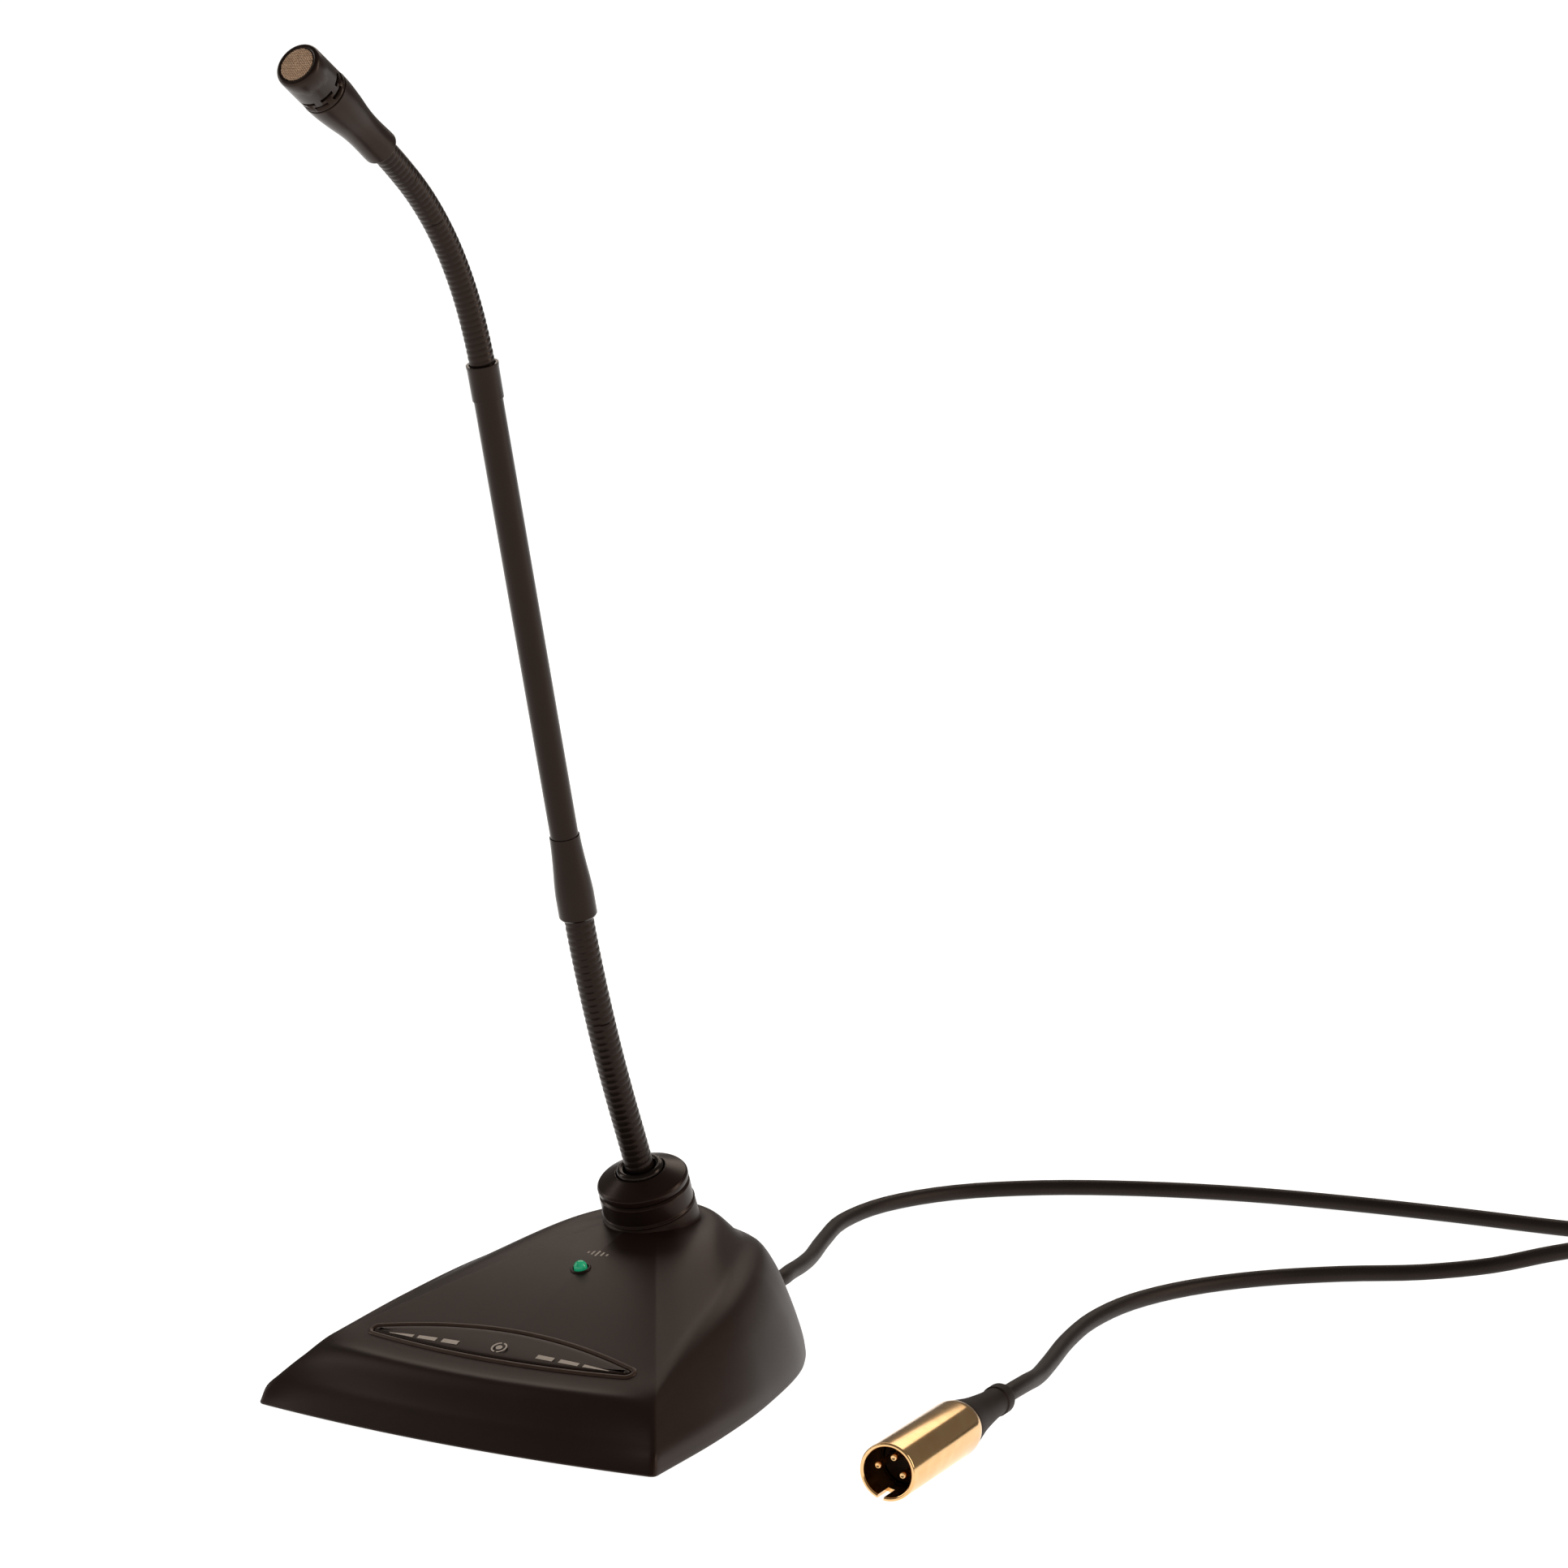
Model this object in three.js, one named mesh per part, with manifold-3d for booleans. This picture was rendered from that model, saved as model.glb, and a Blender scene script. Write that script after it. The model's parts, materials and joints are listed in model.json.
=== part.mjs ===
// Gooseneck podium microphone: a weighted desk base with a push bar and a status light, a tilted neck
// socket, a gooseneck of two flexible hoses joined by a rigid tube, a condenser head, and an attached
// cable that ends in a three-pin plug. Millimetres, +Z up. The talker sits towards -Y. The origin is on
// the desk in the base's centre plane, midway between the head's front and the base's rear end.
import * as THREE from 'three';
import { mergeVertices } from 'three/addons/utils/BufferGeometryUtils.js';
import Module from 'manifold-3d';

const wasm = await Module();
wasm.setup();

// ---- driving dimensions ----
const GAP = 0.3; // running and assembly gap between neighbouring pieces
const FRONT_Y = -50.35; // place of the line through the base's two front corners

const BASE_WIDTH = 160;
const BASE_LENGTH = 176; // from the front corners' line to the rear end
const FRONT_BOW = 6; // how far the front edge bulges forward of its corners
const RIM_Z = 0.6; // underside of the cover's rim above the desk
const WALL = 2.6; // thickness of the cover
const FRONT_TOP_Z = 20.3; // height of the edge between the front face and the top

const SOCKET_LEAN = 20.7; // degrees that the neck socket leans towards the talker
const SOCKET_CENTRE = [0, 113.8, 63]; // middle of the groove between the socket and the lock ring
const SOCKET_R = 15.9;
const SOCKET_HEIGHT = 8.4; // from the cover's seat up to the groove
const SEAT_HOLE_R = 11.8;
const SEAT_UNDERSIDE = SOCKET_HEIGHT + WALL + 0.6; // below the groove, along the socket's axis

const LOWER_HOSE_R = 5;
const UPPER_HOSE_R = 4.2;
const TUBE_R = 4.75;
const TUBE_BORE_R = 3.7;
const COUPLER_LENGTH = 30;
const TUBE_LENGTH = 160;
const SLEEVE_LENGTH = 12;
const HEAD_R = 7.7;
const HEAD_LENGTH = 50;
const STEM_LEAN = 15.5; // degrees that the rigid tube leans towards the talker
const HEAD_LEAN = 57.5;

// Each hose is a fixed root, four links and a fixed end. [length, lean in degrees]
const LOWER_LINKS = [[8, 23], [20.7, 24.3], [20.7, 22.6], [20.7, 20.4], [20.7, 18.4], [8, STEM_LEAN]];
const UPPER_LINKS = [[6, STEM_LEAN], [19.4, 22.5], [19.4, 31.4], [19.4, 41.5], [19.4, 52], [6, HEAD_LEAN]];

const CORD_R = 3;
const CORD_Z = CORD_R + GAP; // centre of the cord where it lies on the desk
const COIL_CENTRE = [275, 357];
const COIL_MID_R = 32.2;
const COIL_LAYERS = 4;
const COIL_TURNS = 10.5;
const TURN_PITCH = 6.2;
const COIL_BOTTOM = 1.8;

const PLUG_R = 9.5;
const PLUG_FACE = [154.9, -30.7]; // centre of the plug's open end, on the desk plane
const PLUG_TURN = 7.3; // degrees that the plug's axis is turned from +Y
const PLUG_ROLL = 15;
const SHELL_LENGTH = 56;
const BOOT_LENGTH = 38;
const PIN_CIRCLE_R = 4.4;
const PIN_DEPTH = 15; // depth of the mouth in front of the insert

// ---- materials ----
const finish = (color, roughness, metalness = 0) =>
  new THREE.MeshStandardMaterial({ color, roughness, metalness });
const coverBrown = finish(0x2c211d, 0.42);
const socketBlack = finish(0x231a17, 0.35);
const hoseBlack = finish(0x1b1513, 0.45, 0.4);
const tubeBlack = finish(0x1f1815, 0.3, 0.5);
const headBlack = finish(0x241c19, 0.35, 0.3);
const meshTan = finish(0x96806c, 0.5, 0.8);
const barBlack = finish(0x261d1a, 0.4);
const rubberBlack = finish(0x171413, 0.8);
const cordBlack = finish(0x1a1614, 0.6);
const nickelGold = finish(0xd9b98a, 0.15, 1);
const steel = finish(0x9a9a98, 0.35, 1);
const boardGreen = finish(0x1f5b3a, 0.6);
const switchBlack = finish(0x202022, 0.5);
const sliderWhite = finish(0xd8d6cc, 0.5);
const ledGreen = finish(0x2aa878, 0.2);
const insertBlack = finish(0x0f0d0d, 0.6);

// ---- helpers ----
const rad = THREE.MathUtils.degToRad;
const mm = (...values) => new THREE.Vector3(...values);
const leaning = (degrees) => mm(0, -Math.sin(rad(degrees)), Math.cos(rad(degrees)));

const microphone = new THREE.Group();
const unit = new THREE.Group(); // base and neck, drawn from the line of the base's front corners
unit.position.y = FRONT_Y;
microphone.add(unit);

function place(parent, name, geometry, material, position = [0, 0, 0], rotation = [0, 0, 0]) {
  const mesh = new THREE.Mesh(geometry, material);
  mesh.name = name;
  mesh.position.set(...position);
  mesh.rotation.set(...rotation);
  parent.add(mesh);
  return mesh;
}

// A solid of revolution about +Z from a closed [radius, z] profile, listed anticlockwise.
function turned(profile, segments = 24) {
  const points = [...profile, profile[0]].map(([r, z]) => new THREE.Vector2(r, z));
  return new THREE.LatheGeometry(points, segments).rotateX(Math.PI / 2);
}

// A washer or a rod: closed profile between two radii and two heights.
const ring = (inner, outer, low, high, segments) =>
  turned([[inner, low], [outer, low], [outer, high], [inner, high]], segments);
const rod = (radius, low, high, segments) => ring(0, radius, low, high, segments);
const block = (x, y, low, high) =>
  new THREE.BoxGeometry(x, y, high - low).translate(0, 0, (low + high) / 2);

// The corners of a rectangle of these half sizes.
const frameCorners = (x, y) =>
  [[-x, -y], [x, -y], [x, y], [-x, y]].map(([a, b]) => new THREE.Vector2(a, b));

// The corners of a regular polygon round the origin.
const polygon = (count, radius) =>
  [...Array(count).keys()].map((i) => {
    const angle = (i / count) * 2 * Math.PI;
    return new THREE.Vector2(radius * Math.cos(angle), radius * Math.sin(angle));
  });

function plate(shape, low, high, steps = 12) {
  const options = { depth: high - low, bevelEnabled: false, curveSegments: steps };
  return new THREE.ExtrudeGeometry(shape, options).translate(0, 0, low);
}

function solid(geometry) {
  const bare = geometry.clone();
  bare.deleteAttribute('normal');
  bare.deleteAttribute('uv');
  const merged = mergeVertices(bare, 1e-4);
  return new wasm.Manifold(
    new wasm.Mesh({
      numProp: 3,
      vertProperties: new Float32Array(merged.attributes.position.array),
      triVerts: new Uint32Array(merged.index.array),
    }),
  );
}

function shaped(manifold) {
  const mesh = manifold.getMesh();
  const geometry = new THREE.BufferGeometry();
  geometry.setAttribute('position', new THREE.BufferAttribute(mesh.vertProperties, 3));
  geometry.setIndex(new THREE.BufferAttribute(mesh.triVerts, 1));
  const flat = geometry.toNonIndexed();
  flat.computeVertexNormals();
  return flat;
}

// A geometry moved to where a mesh of the unit would stand, for cutting one piece by another.
const posed = (geometry, position, lean = 0) =>
  geometry.clone().rotateX(rad(lean)).translate(...position);

// ---- base cover ----
// The cover is a loft. Each column of it runs from the desk outline up the wall to the top edge, and on
// over the top to the socket's foot. Stations of the right half, from the front corner round to the rear:
const SIDE_FOOT = [
  [BASE_WIDTH / 2, 0], [74.6, 47], [65.8, 91], [50, 138], [30, 165], [0, BASE_LENGTH],
];
const SIDE_EDGE = [
  [66, 21.5, 21.2], [58, 54, 29.7], [50, 86, 36.2], [38, 114, 40.7], [23, 141, 42.3], [0, 156, 42.3],
];
const SIDE_SEAT = [[-50, 1.2], [-25, 3], [0, 5.6], [30, 8.6], [60, 10.4], [90, 11.2]]; // [degrees, drop]
// Wall profile as [inward share, height share] of the way from the foot to the top edge.
const FRONT_WALL = [[0, 0.06], [0.3, 0.31], [0.45, 0.44], [0.58, 0.63], [0.69, 0.82], [0.82, 0.95], [1, 1]];
const CORNER_WALL = [[0, 0.06], [0.09, 0.3], [0.26, 0.45], [0.46, 0.61], [0.65, 0.75], [0.83, 0.89], [1, 1]];
const REAR_WALL = [[0, 0.03], [0.03, 0.13], [0.11, 0.28], [0.26, 0.5], [0.46, 0.74], [0.7, 0.92], [1, 1]];
const FRONT_COLUMNS = 6; // per half
const SIDE_COLUMNS = 14; // per half
const TOP_SWELL = 1.5; // how far the top swells above a straight slope

const curveThrough = (points) =>
  new THREE.CatmullRomCurve3(points.map(([x, y, z = 0]) => mm(x, y, z)), false, 'centripetal');
const footCurve = curveThrough(SIDE_FOOT);
const edgeCurve = curveThrough(SIDE_EDGE);
const seatCurve = curveThrough(SIDE_SEAT);
const at = (curve, t) => curve.getPoint(t);

// The column at share t of the right half's front (side = false) or of its flank (side = true).
// Its wall is a share of the corner's profile and a share of the rear's, and the front's for the rest.
function column(t, side) {
  const half = BASE_WIDTH / 2;
  const [cornerX, cornerY, cornerZ] = SIDE_EDGE[0];
  const [seatAngle, seatDrop] = SIDE_SEAT[0];
  if (side) {
    const seat = at(seatCurve, t);
    const rear = THREE.MathUtils.smoothstep(t, 0, 0.5);
    return {
      foot: at(footCurve, t), edge: at(edgeCurve, t), angle: seat.x, drop: seat.y, rear, corner: 1 - rear,
    };
  }
  return {
    foot: mm(half * t, -FRONT_BOW * (1 - t * t), 0),
    edge: mm(cornerX * t, 14.4 + (cornerY - 14.4) * t * t, FRONT_TOP_Z + (cornerZ - FRONT_TOP_Z) * t * t),
    angle: -90 + (seatAngle + 90) * t,
    drop: seatDrop * (0.3 + 0.7 * t),
    rear: 0,
    corner: t ** 6,
  };
}

const socketAxis = leaning(SOCKET_LEAN);
const socketPoint = (radius, degrees, below) => {
  const across = mm(Math.cos(rad(degrees)), Math.sin(rad(degrees)), 0).multiplyScalar(radius);
  return across
    .applyAxisAngle(mm(1, 0, 0), rad(SOCKET_LEAN))
    .add(mm(...SOCKET_CENTRE))
    .addScaledVector(socketAxis, -below);
};

// Every ring's point on one column, from the rim up the outside, through the seat's hole, down inside.
function columnPoints({ foot, edge, angle, drop, rear, corner }) {
  const inward = mm(edge.x - foot.x, edge.y - foot.y, 0);
  const depth = inward.length();
  inward.normalize();
  const wallPoint = (k, shift = 0, sink = 0) => {
    const [share, rise] = [0, 1].map(
      (i) => FRONT_WALL[k][i] * (1 - rear - corner) + CORNER_WALL[k][i] * corner + REAR_WALL[k][i] * rear,
    );
    return foot.clone().addScaledVector(inward, share * depth + shift).setZ(rise * edge.z - sink);
  };
  const seatFoot = socketPoint(SOCKET_R + 0.7, angle, SOCKET_HEIGHT + drop);
  const topPoint = (v, sink = 0) => {
    const point = edge.clone().lerp(seatFoot, v);
    point.z += TOP_SWELL * (1 + rear) * Math.sin(Math.PI * v ** 1.4) - sink;
    return point;
  };
  return [
    foot.clone().addScaledVector(inward, 0.4).setZ(RIM_Z),
    ...FRONT_WALL.map((_, k) => wallPoint(k)),
    topPoint(0.25),
    topPoint(0.5),
    topPoint(0.75),
    seatFoot,
    socketPoint(SOCKET_R + 0.1, angle, SOCKET_HEIGHT),
    socketPoint(SEAT_HOLE_R, angle, SOCKET_HEIGHT),
    socketPoint(SEAT_HOLE_R, angle, SEAT_UNDERSIDE),
    socketPoint(SOCKET_R - 1.3, angle, SEAT_UNDERSIDE),
    socketPoint(SOCKET_R - 1.3, angle, SEAT_UNDERSIDE + 0.75 * drop),
    topPoint(0.5, WALL + 0.4),
    wallPoint(6, WALL, WALL),
    wallPoint(4, WALL, WALL - 0.6),
    wallPoint(1, WALL, 2),
    foot.clone().addScaledVector(inward, 4.5).setZ(RIM_Z),
  ];
}

function coverColumns() {
  const right = [];
  for (let i = 0; i < FRONT_COLUMNS; i++) right.push(column(i / FRONT_COLUMNS, false));
  for (let i = 0; i <= SIDE_COLUMNS; i++) right.push(column(i / SIDE_COLUMNS, true));
  const points = right.map(columnPoints);
  const left = points.slice(1, -1).reverse();
  return [...points, ...left.map((line) => line.map((p) => mm(-p.x, p.y, p.z)))];
}

// Closes a grid of columns (round the piece) by rings (up, over and back inside) into one torus-like body.
function loftGeometry(columns) {
  const rings = columns[0].length;
  const index = [];
  columns.forEach((_, i) => {
    const next = ((i + 1) % columns.length) * rings;
    for (let k = 0; k < rings; k++) {
      const up = (k + 1) % rings;
      index.push(i * rings + k, next + k, next + up, i * rings + k, next + up, i * rings + up);
    }
  });
  const geometry = new THREE.BufferGeometry().setFromPoints(columns.flat());
  return geometry.setIndex(index);
}

// ---- push bar: a bow-shaped bar across the top's front, in a raised bezel ----
const BAR_CENTRE = [0, 28, 24.5];
const BAR_LEAN = 19.5; // slope of the top where the bar lies
const BAR_HALF = 53.5;
const BAR_END_R = 3.2;
const BAR_CROWN = 10.6; // rear arch at the middle
const BAR_BELLY = 7.6; // front bulge at the middle
const BEZEL_WIDTH = 1.5;

function bowShape(grow) {
  const end = BAR_HALF - BAR_END_R;
  const radius = BAR_END_R + grow;
  const shape = new THREE.Shape();
  shape.moveTo(end, -radius);
  shape.absarc(end, 0, radius, -Math.PI / 2, Math.PI / 2, false);
  shape.quadraticCurveTo(0, 2 * (BAR_CROWN + grow) - radius, -end, radius);
  shape.absarc(-end, 0, radius, Math.PI / 2, (3 * Math.PI) / 2, false);
  shape.quadraticCurveTo(0, -2 * (BAR_BELLY + grow) + radius, end, -radius);
  return shape;
}

const SCREW_POSTS = [[-43, 50, 29.9], [43, 50, 29.9], [-20, 131, 45.9], [20, 131, 45.9]]; // [x, y, top]
const POST_R = 3.6;
const PLATE_INSET = 10.5;
const PLATE_LOW = 1.6;
const PLATE_HIGH = 3.2;
const LED_PLACE = [0, 75.5, 41.2];
const LED_LEAN = 17;
const LED_HOLE_R = 3.2;
const GLAND_Z = 10;
const GLAND_R = 4.6;

function baseCover() {
  let cover = solid(loftGeometry(coverColumns()));
  for (const [x, y, top] of SCREW_POSTS) {
    cover = cover.add(solid(posed(rod(POST_R, PLATE_HIGH + GAP, top, 12), [x, y, 0])));
    cover = cover.subtract(solid(posed(rod(1.6, 0, 14, 10), [x, y, 0])));
  }
  cover = cover.subtract(solid(posed(plate(bowShape(GAP), -9, 9), BAR_CENTRE, BAR_LEAN)));
  cover = cover.subtract(solid(posed(rod(LED_HOLE_R, -8, 8, 20), LED_PLACE, LED_LEAN)));
  const glandHole = rod(GLAND_R + GAP, -20, 20, 20).rotateX(-Math.PI / 2);
  return cover.subtract(solid(glandHole.translate(0, BASE_LENGTH - 10, GLAND_Z)));
}
place(unit, 'base_cover', shaped(baseCover()), coverBrown);

// ---- bottom plate, feet, screws, ballast ----
function plateOutline() {
  const corners = [...Array(4).keys()].map((i) => column(i / 4, false));
  const flank = [...Array(9).keys()].map((i) => column(i / 8, true));
  const right = [...corners, ...flank].map(({ foot, edge }) => {
    const inward = mm(edge.x - foot.x, edge.y - foot.y, 0).normalize();
    const point = foot.clone().addScaledVector(inward, PLATE_INSET);
    return new THREE.Vector2(point.x, point.y);
  });
  const left = right.slice(1, -1).reverse();
  return [...right, ...left.map((p) => new THREE.Vector2(-p.x, p.y))];
}
const plateShape = new THREE.Shape(plateOutline());
for (const [x, y] of SCREW_POSTS) {
  plateShape.holes.push(new THREE.Path().absarc(x, y, 1.7, 0, 2 * Math.PI, true));
}
place(unit, 'bottom_plate', plate(plateShape, PLATE_LOW, PLATE_HIGH, 5), steel);

const FEET = [[-56, 15], [56, 15], [-36, 128], [36, 128]];
FEET.forEach(([x, y], i) => {
  place(unit, `foot_${i + 1}`, rod(7, 0, PLATE_LOW - GAP, 16), rubberBlack, [x, y, 0]);
});
SCREW_POSTS.forEach(([x, y], i) => {
  const profile = [[0, 0.4], [2.6, 0.4], [2.9, 0.8], [2.9, 1.3], [1.3, 1.3], [1.3, 12], [0, 12]];
  place(unit, `plate_screw_${i + 1}`, turned(profile, 12), steel, [x, y, 0]);
});
place(unit, 'ballast_weight', block(58, 50, 3.5, 14), steel, [0, 86, 0]);

// ---- circuit board with the mute switch, the option switches and its screws ----
const BOARD_LOW = 9;
const BOARD_HIGH = 10.6;
const BOARD_Y = 34;
const BOARD_SCREW_X = [-33, 33];
const boardShape = new THREE.Shape(frameCorners(38, 15));
for (const x of BOARD_SCREW_X) {
  boardShape.holes.push(new THREE.Path().absarc(x, 0, 1.6, 0, 2 * Math.PI, true));
}
place(unit, 'circuit_board', plate(boardShape, BOARD_LOW, BOARD_HIGH, 5), boardGreen, [0, BOARD_Y, 0]);
BOARD_SCREW_X.forEach((x, i) => {
  const profile = [[0, 4.5], [1.2, 4.5], [1.2, 10.9], [2.6, 10.9], [2.6, 12.4], [0, 12.4]];
  place(unit, `board_screw_${i + 1}`, turned(profile, 12), steel, [x, BOARD_Y, 0]);
});
const SWITCH_Y = 29;
place(unit, 'mute_switch_body', block(7, 7, BOARD_HIGH + GAP, 14.4), switchBlack, [0, SWITCH_Y, 0]);
place(unit, 'switch_plunger', rod(1.7, 14.9, 17.4, 12), sliderWhite, [0, SWITCH_Y, 0]);
place(unit, 'option_switch_body', block(9, 6, 5, BOARD_LOW - GAP), switchBlack, [0, 36, 0]);
[-2.6, 0, 2.6].forEach((x, i) => {
  place(unit, `option_slider_${i + 1}`, block(1.2, 1.2, 3.6, 4.7), sliderWhite, [x, 35.4, 0]);
});

// ---- push bar and bezel ----
const bezel = bowShape(0);
bezel.holes.push(new THREE.Path(bowShape(-BEZEL_WIDTH).getPoints(12)));
place(unit, 'push_bar_bezel', plate(bezel, -4, 0.9), barBlack, BAR_CENTRE, [rad(BAR_LEAN), 0, 0]);
const barSolid = solid(plate(bowShape(-BEZEL_WIDTH - 0.35), -2.4, 0.5)).add(solid(rod(2, -6.1, -2, 12)));
place(unit, 'push_bar', shaped(barSolid), barBlack, BAR_CENTRE, [rad(BAR_LEAN), 0, 0]);

// ---- status light in its holder ----
const ledFrame = [LED_PLACE, [rad(LED_LEAN), 0, 0]];
const holderProfile = [[2.65, -2.6], [2.9, -2.6], [2.9, 0.75], [3.9, 0.75], [3.7, 1.3], [2.65, 1.3]];
place(unit, 'led_holder', turned(holderProfile, 20), barBlack, ...ledFrame);
const ledProfile = [[0, -5], [2.3, -5], [2.3, 1.2], [2.1, 2.2], [1.4, 3], [0, 3.4]];
place(unit, 'status_led', turned(ledProfile, 20), ledGreen, ...ledFrame);

// ---- neck socket, lock ring, grommet and the nut inside ----
const socket = new THREE.Group();
socket.position.set(...SOCKET_CENTRE);
socket.rotation.x = rad(SOCKET_LEAN);
unit.add(socket);
const HOSE_CLEAR = LOWER_HOSE_R + 0.7;
const NUT_R = 14;
const socketFoot = -SOCKET_HEIGHT + GAP;
place(socket, 'neck_socket', turned([
  [9, -18], [11.3, -18], [11.3, socketFoot], [SOCKET_R + 0.2, socketFoot], [SOCKET_R, socketFoot + 1],
  [SOCKET_R, -0.9], [SOCKET_R - 0.8, -0.1], [13.6, -0.1], [13.6, -2], [9, -2],
], 32), socketBlack);
const nutShape = new THREE.Shape(polygon(6, NUT_R));
nutShape.holes.push(new THREE.Path().absarc(0, 0, 11.6, 0, 2 * Math.PI, true));
place(socket, 'socket_nut', plate(nutShape, -17, -SEAT_UNDERSIDE - GAP, 12), steel);
place(socket, 'lock_ring', turned([
  [8.6, -1.6], [13.2, -1.6], [13.2, 0.3], [SOCKET_R - 0.2, 0.3], [SOCKET_R, 1.2], [SOCKET_R, 2.4],
  [SOCKET_R - 0.7, 3.2], [8.9, 6.6], [8.6, 6.6],
], 32), socketBlack);
place(socket, 'neck_grommet', turned([
  [HOSE_CLEAR, -3], [8.2, -3], [8.2, 6.9], [7.9, 7.6], [6.6, 8.1], [HOSE_CLEAR, 7.6],
], 24), rubberBlack);

// ---- gooseneck ----
// A hose link: its ends are coned so that it can rock on its neighbours about the point between them.
const LINK_TIP_R = 0.8;
const LINK_CONE = 1.7;
function linkGeometry(radius, length, { coneLow = true, coneHigh = true, tail = 0 } = {}) {
  const half = GAP / 2 + 0.05;
  const low = coneLow ? [[0, half], [LINK_TIP_R, half], [radius, LINK_CONE]] : [[0, -tail], [radius, -tail]];
  const high = coneHigh
    ? [[radius, length - LINK_CONE], [LINK_TIP_R, length - half], [0, length - half]]
    : [[radius, length + tail], [0, length + tail]];
  return turned([...low, ...high], 14);
}

// Lays a hose's links end to end from a start point and returns the point where the hose ends.
function layHose(name, links, radius, start, rootTail, endTail) {
  const point = start.clone();
  links.forEach(([length, lean], i) => {
    const first = i === 0;
    const last = i === links.length - 1;
    const shape = { coneLow: !first, coneHigh: !last, tail: first ? rootTail : endTail };
    const geometry = linkGeometry(radius, length, shape);
    place(unit, `${name}_${i + 1}`, geometry, hoseBlack, point.toArray(), [rad(lean), 0, 0]);
    point.addScaledVector(leaning(lean), length);
  });
  return point;
}

const lowerStart = mm(...SOCKET_CENTRE).addScaledVector(socketAxis, 8.1);
const lowerEnd = layHose('lower_hose', LOWER_LINKS, LOWER_HOSE_R, lowerStart, 16, 9);

const stem = new THREE.Group();
stem.position.copy(lowerEnd);
stem.rotation.x = rad(STEM_LEAN);
unit.add(stem);
const tubeFoot = 11;
const tubeTop = COUPLER_LENGTH + TUBE_LENGTH;
place(stem, 'tube_coupler', turned([
  [LOWER_HOSE_R + 0.3, 0.3], [6.2, 0.3], [6.5, 1], [6.5, 9], [6.2, 13], [5.65, 20], [5.25, 26],
  [5.1, COUPLER_LENGTH], [TUBE_R + 0.15, COUPLER_LENGTH], [TUBE_R + 0.15, tubeFoot - 0.8],
  [LOWER_HOSE_R + 0.3, tubeFoot - 0.8],
], 24), tubeBlack);
place(stem, 'stem_tube', ring(TUBE_BORE_R, TUBE_R, tubeFoot, tubeTop, 24), tubeBlack);
place(stem, 'microphone_lead', rod(1.4, tubeFoot, tubeTop - 12, 8), cordBlack);
place(stem, 'tube_sleeve', turned([
  [TUBE_R + 0.15, tubeTop - 6], [TUBE_R + 0.5, tubeTop - 6], [TUBE_R + 0.6, tubeTop + SLEEVE_LENGTH - 6],
  [UPPER_HOSE_R + 0.2, tubeTop + SLEEVE_LENGTH - 6], [UPPER_HOSE_R + 0.2, tubeTop + GAP],
  [TUBE_R + 0.15, tubeTop + GAP],
], 24), tubeBlack);

const sleeveTop = lowerEnd.clone().addScaledVector(leaning(STEM_LEAN), tubeTop + SLEEVE_LENGTH - 6);
const upperEnd = layHose('upper_hose', UPPER_LINKS, UPPER_HOSE_R, sleeveTop, 5, 7);

// ---- head: body, cartridge, capsule and front grille ----
const head = new THREE.Group();
head.position.copy(upperEnd);
head.rotation.x = rad(HEAD_LEAN);
unit.add(head);
const BODY_TOP = 34;
place(head, 'head_body', turned([
  [UPPER_HOSE_R + 0.3, 0.3], [5.4, 0.3], [5.8, 1], [5.8, 3], [5.7, 7], [5.7, 11], [6, 16], [6.9, 23],
  [HEAD_R - 0.1, 29], [HEAD_R, BODY_TOP], [5.6, BODY_TOP], [5.6, 22], [4.3, 16], [4.3, 8],
  [UPPER_HOSE_R + 0.3, 8],
], 28), headBlack);
place(head, 'cartridge_housing', turned([
  [5, 24], [5.3, 24], [5.3, BODY_TOP + GAP], [HEAD_R - 0.15, BODY_TOP + GAP], [HEAD_R - 0.15, 48.6],
  [HEAD_R - 0.5, HEAD_LENGTH], [5.9, HEAD_LENGTH], [5.9, 49], [5, 49],
], 28), headBlack);
place(head, 'capsule', rod(4.6, 36, 46, 20), steel);
place(head, 'front_grille', turned([[0, 49.3], [5.6, 49.3], [5.6, 49.6], [0, 50.1]], 24), meshTan);

// ---- cable: gland, lead, coil, tie and tail ----
const glandTip = BASE_LENGTH + 20;
place(unit, 'cable_gland', turned([
  [0, -21], [6.2, -21], [6.2, -18.5], [GLAND_R, -18.5], [GLAND_R, 0], [4.2, 10], [3.7, 20], [0, 20],
], 20), rubberBlack, [0, BASE_LENGTH, GLAND_Z], [-Math.PI / 2, 0, 0]);

const cordSection = new THREE.Shape(polygon(10, CORD_R));
function cordGeometry(route, step) {
  const path = new THREE.CatmullRomCurve3(route.map((p) => mm(...p)), false, 'centripetal');
  const steps = Math.round(path.getLength() / step);
  return new THREE.ExtrudeGeometry(cordSection, { steps, bevelEnabled: false, extrudePath: path });
}

// The lead runs back from the gland, comes down to the desk and swings to the right, to the coil.
const glandEnd = FRONT_Y + glandTip;
const LEAD_ROUTE = [
  [0, glandEnd + GAP, GLAND_Z], [-0.3, glandEnd + 7, GLAND_Z], [-4, 164, 9.2], [-9, 179, 7.6],
  [-17, 199, 5.4], [-30, 229, CORD_Z + 0.4], [-40, 259, CORD_Z], [-40, 290, CORD_Z], [-27, 321, CORD_Z],
  [-2, 346, CORD_Z], [31, 365, CORD_Z], [70, 379, CORD_Z], [110, 387, CORD_Z], [152, 392, CORD_Z],
  [194, 395, CORD_Z], [228, 397, 4], [250, 397.2, 4.8],
];
place(microphone, 'cable_lead', cordGeometry(LEAD_ROUTE, 14), cordBlack);

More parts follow.
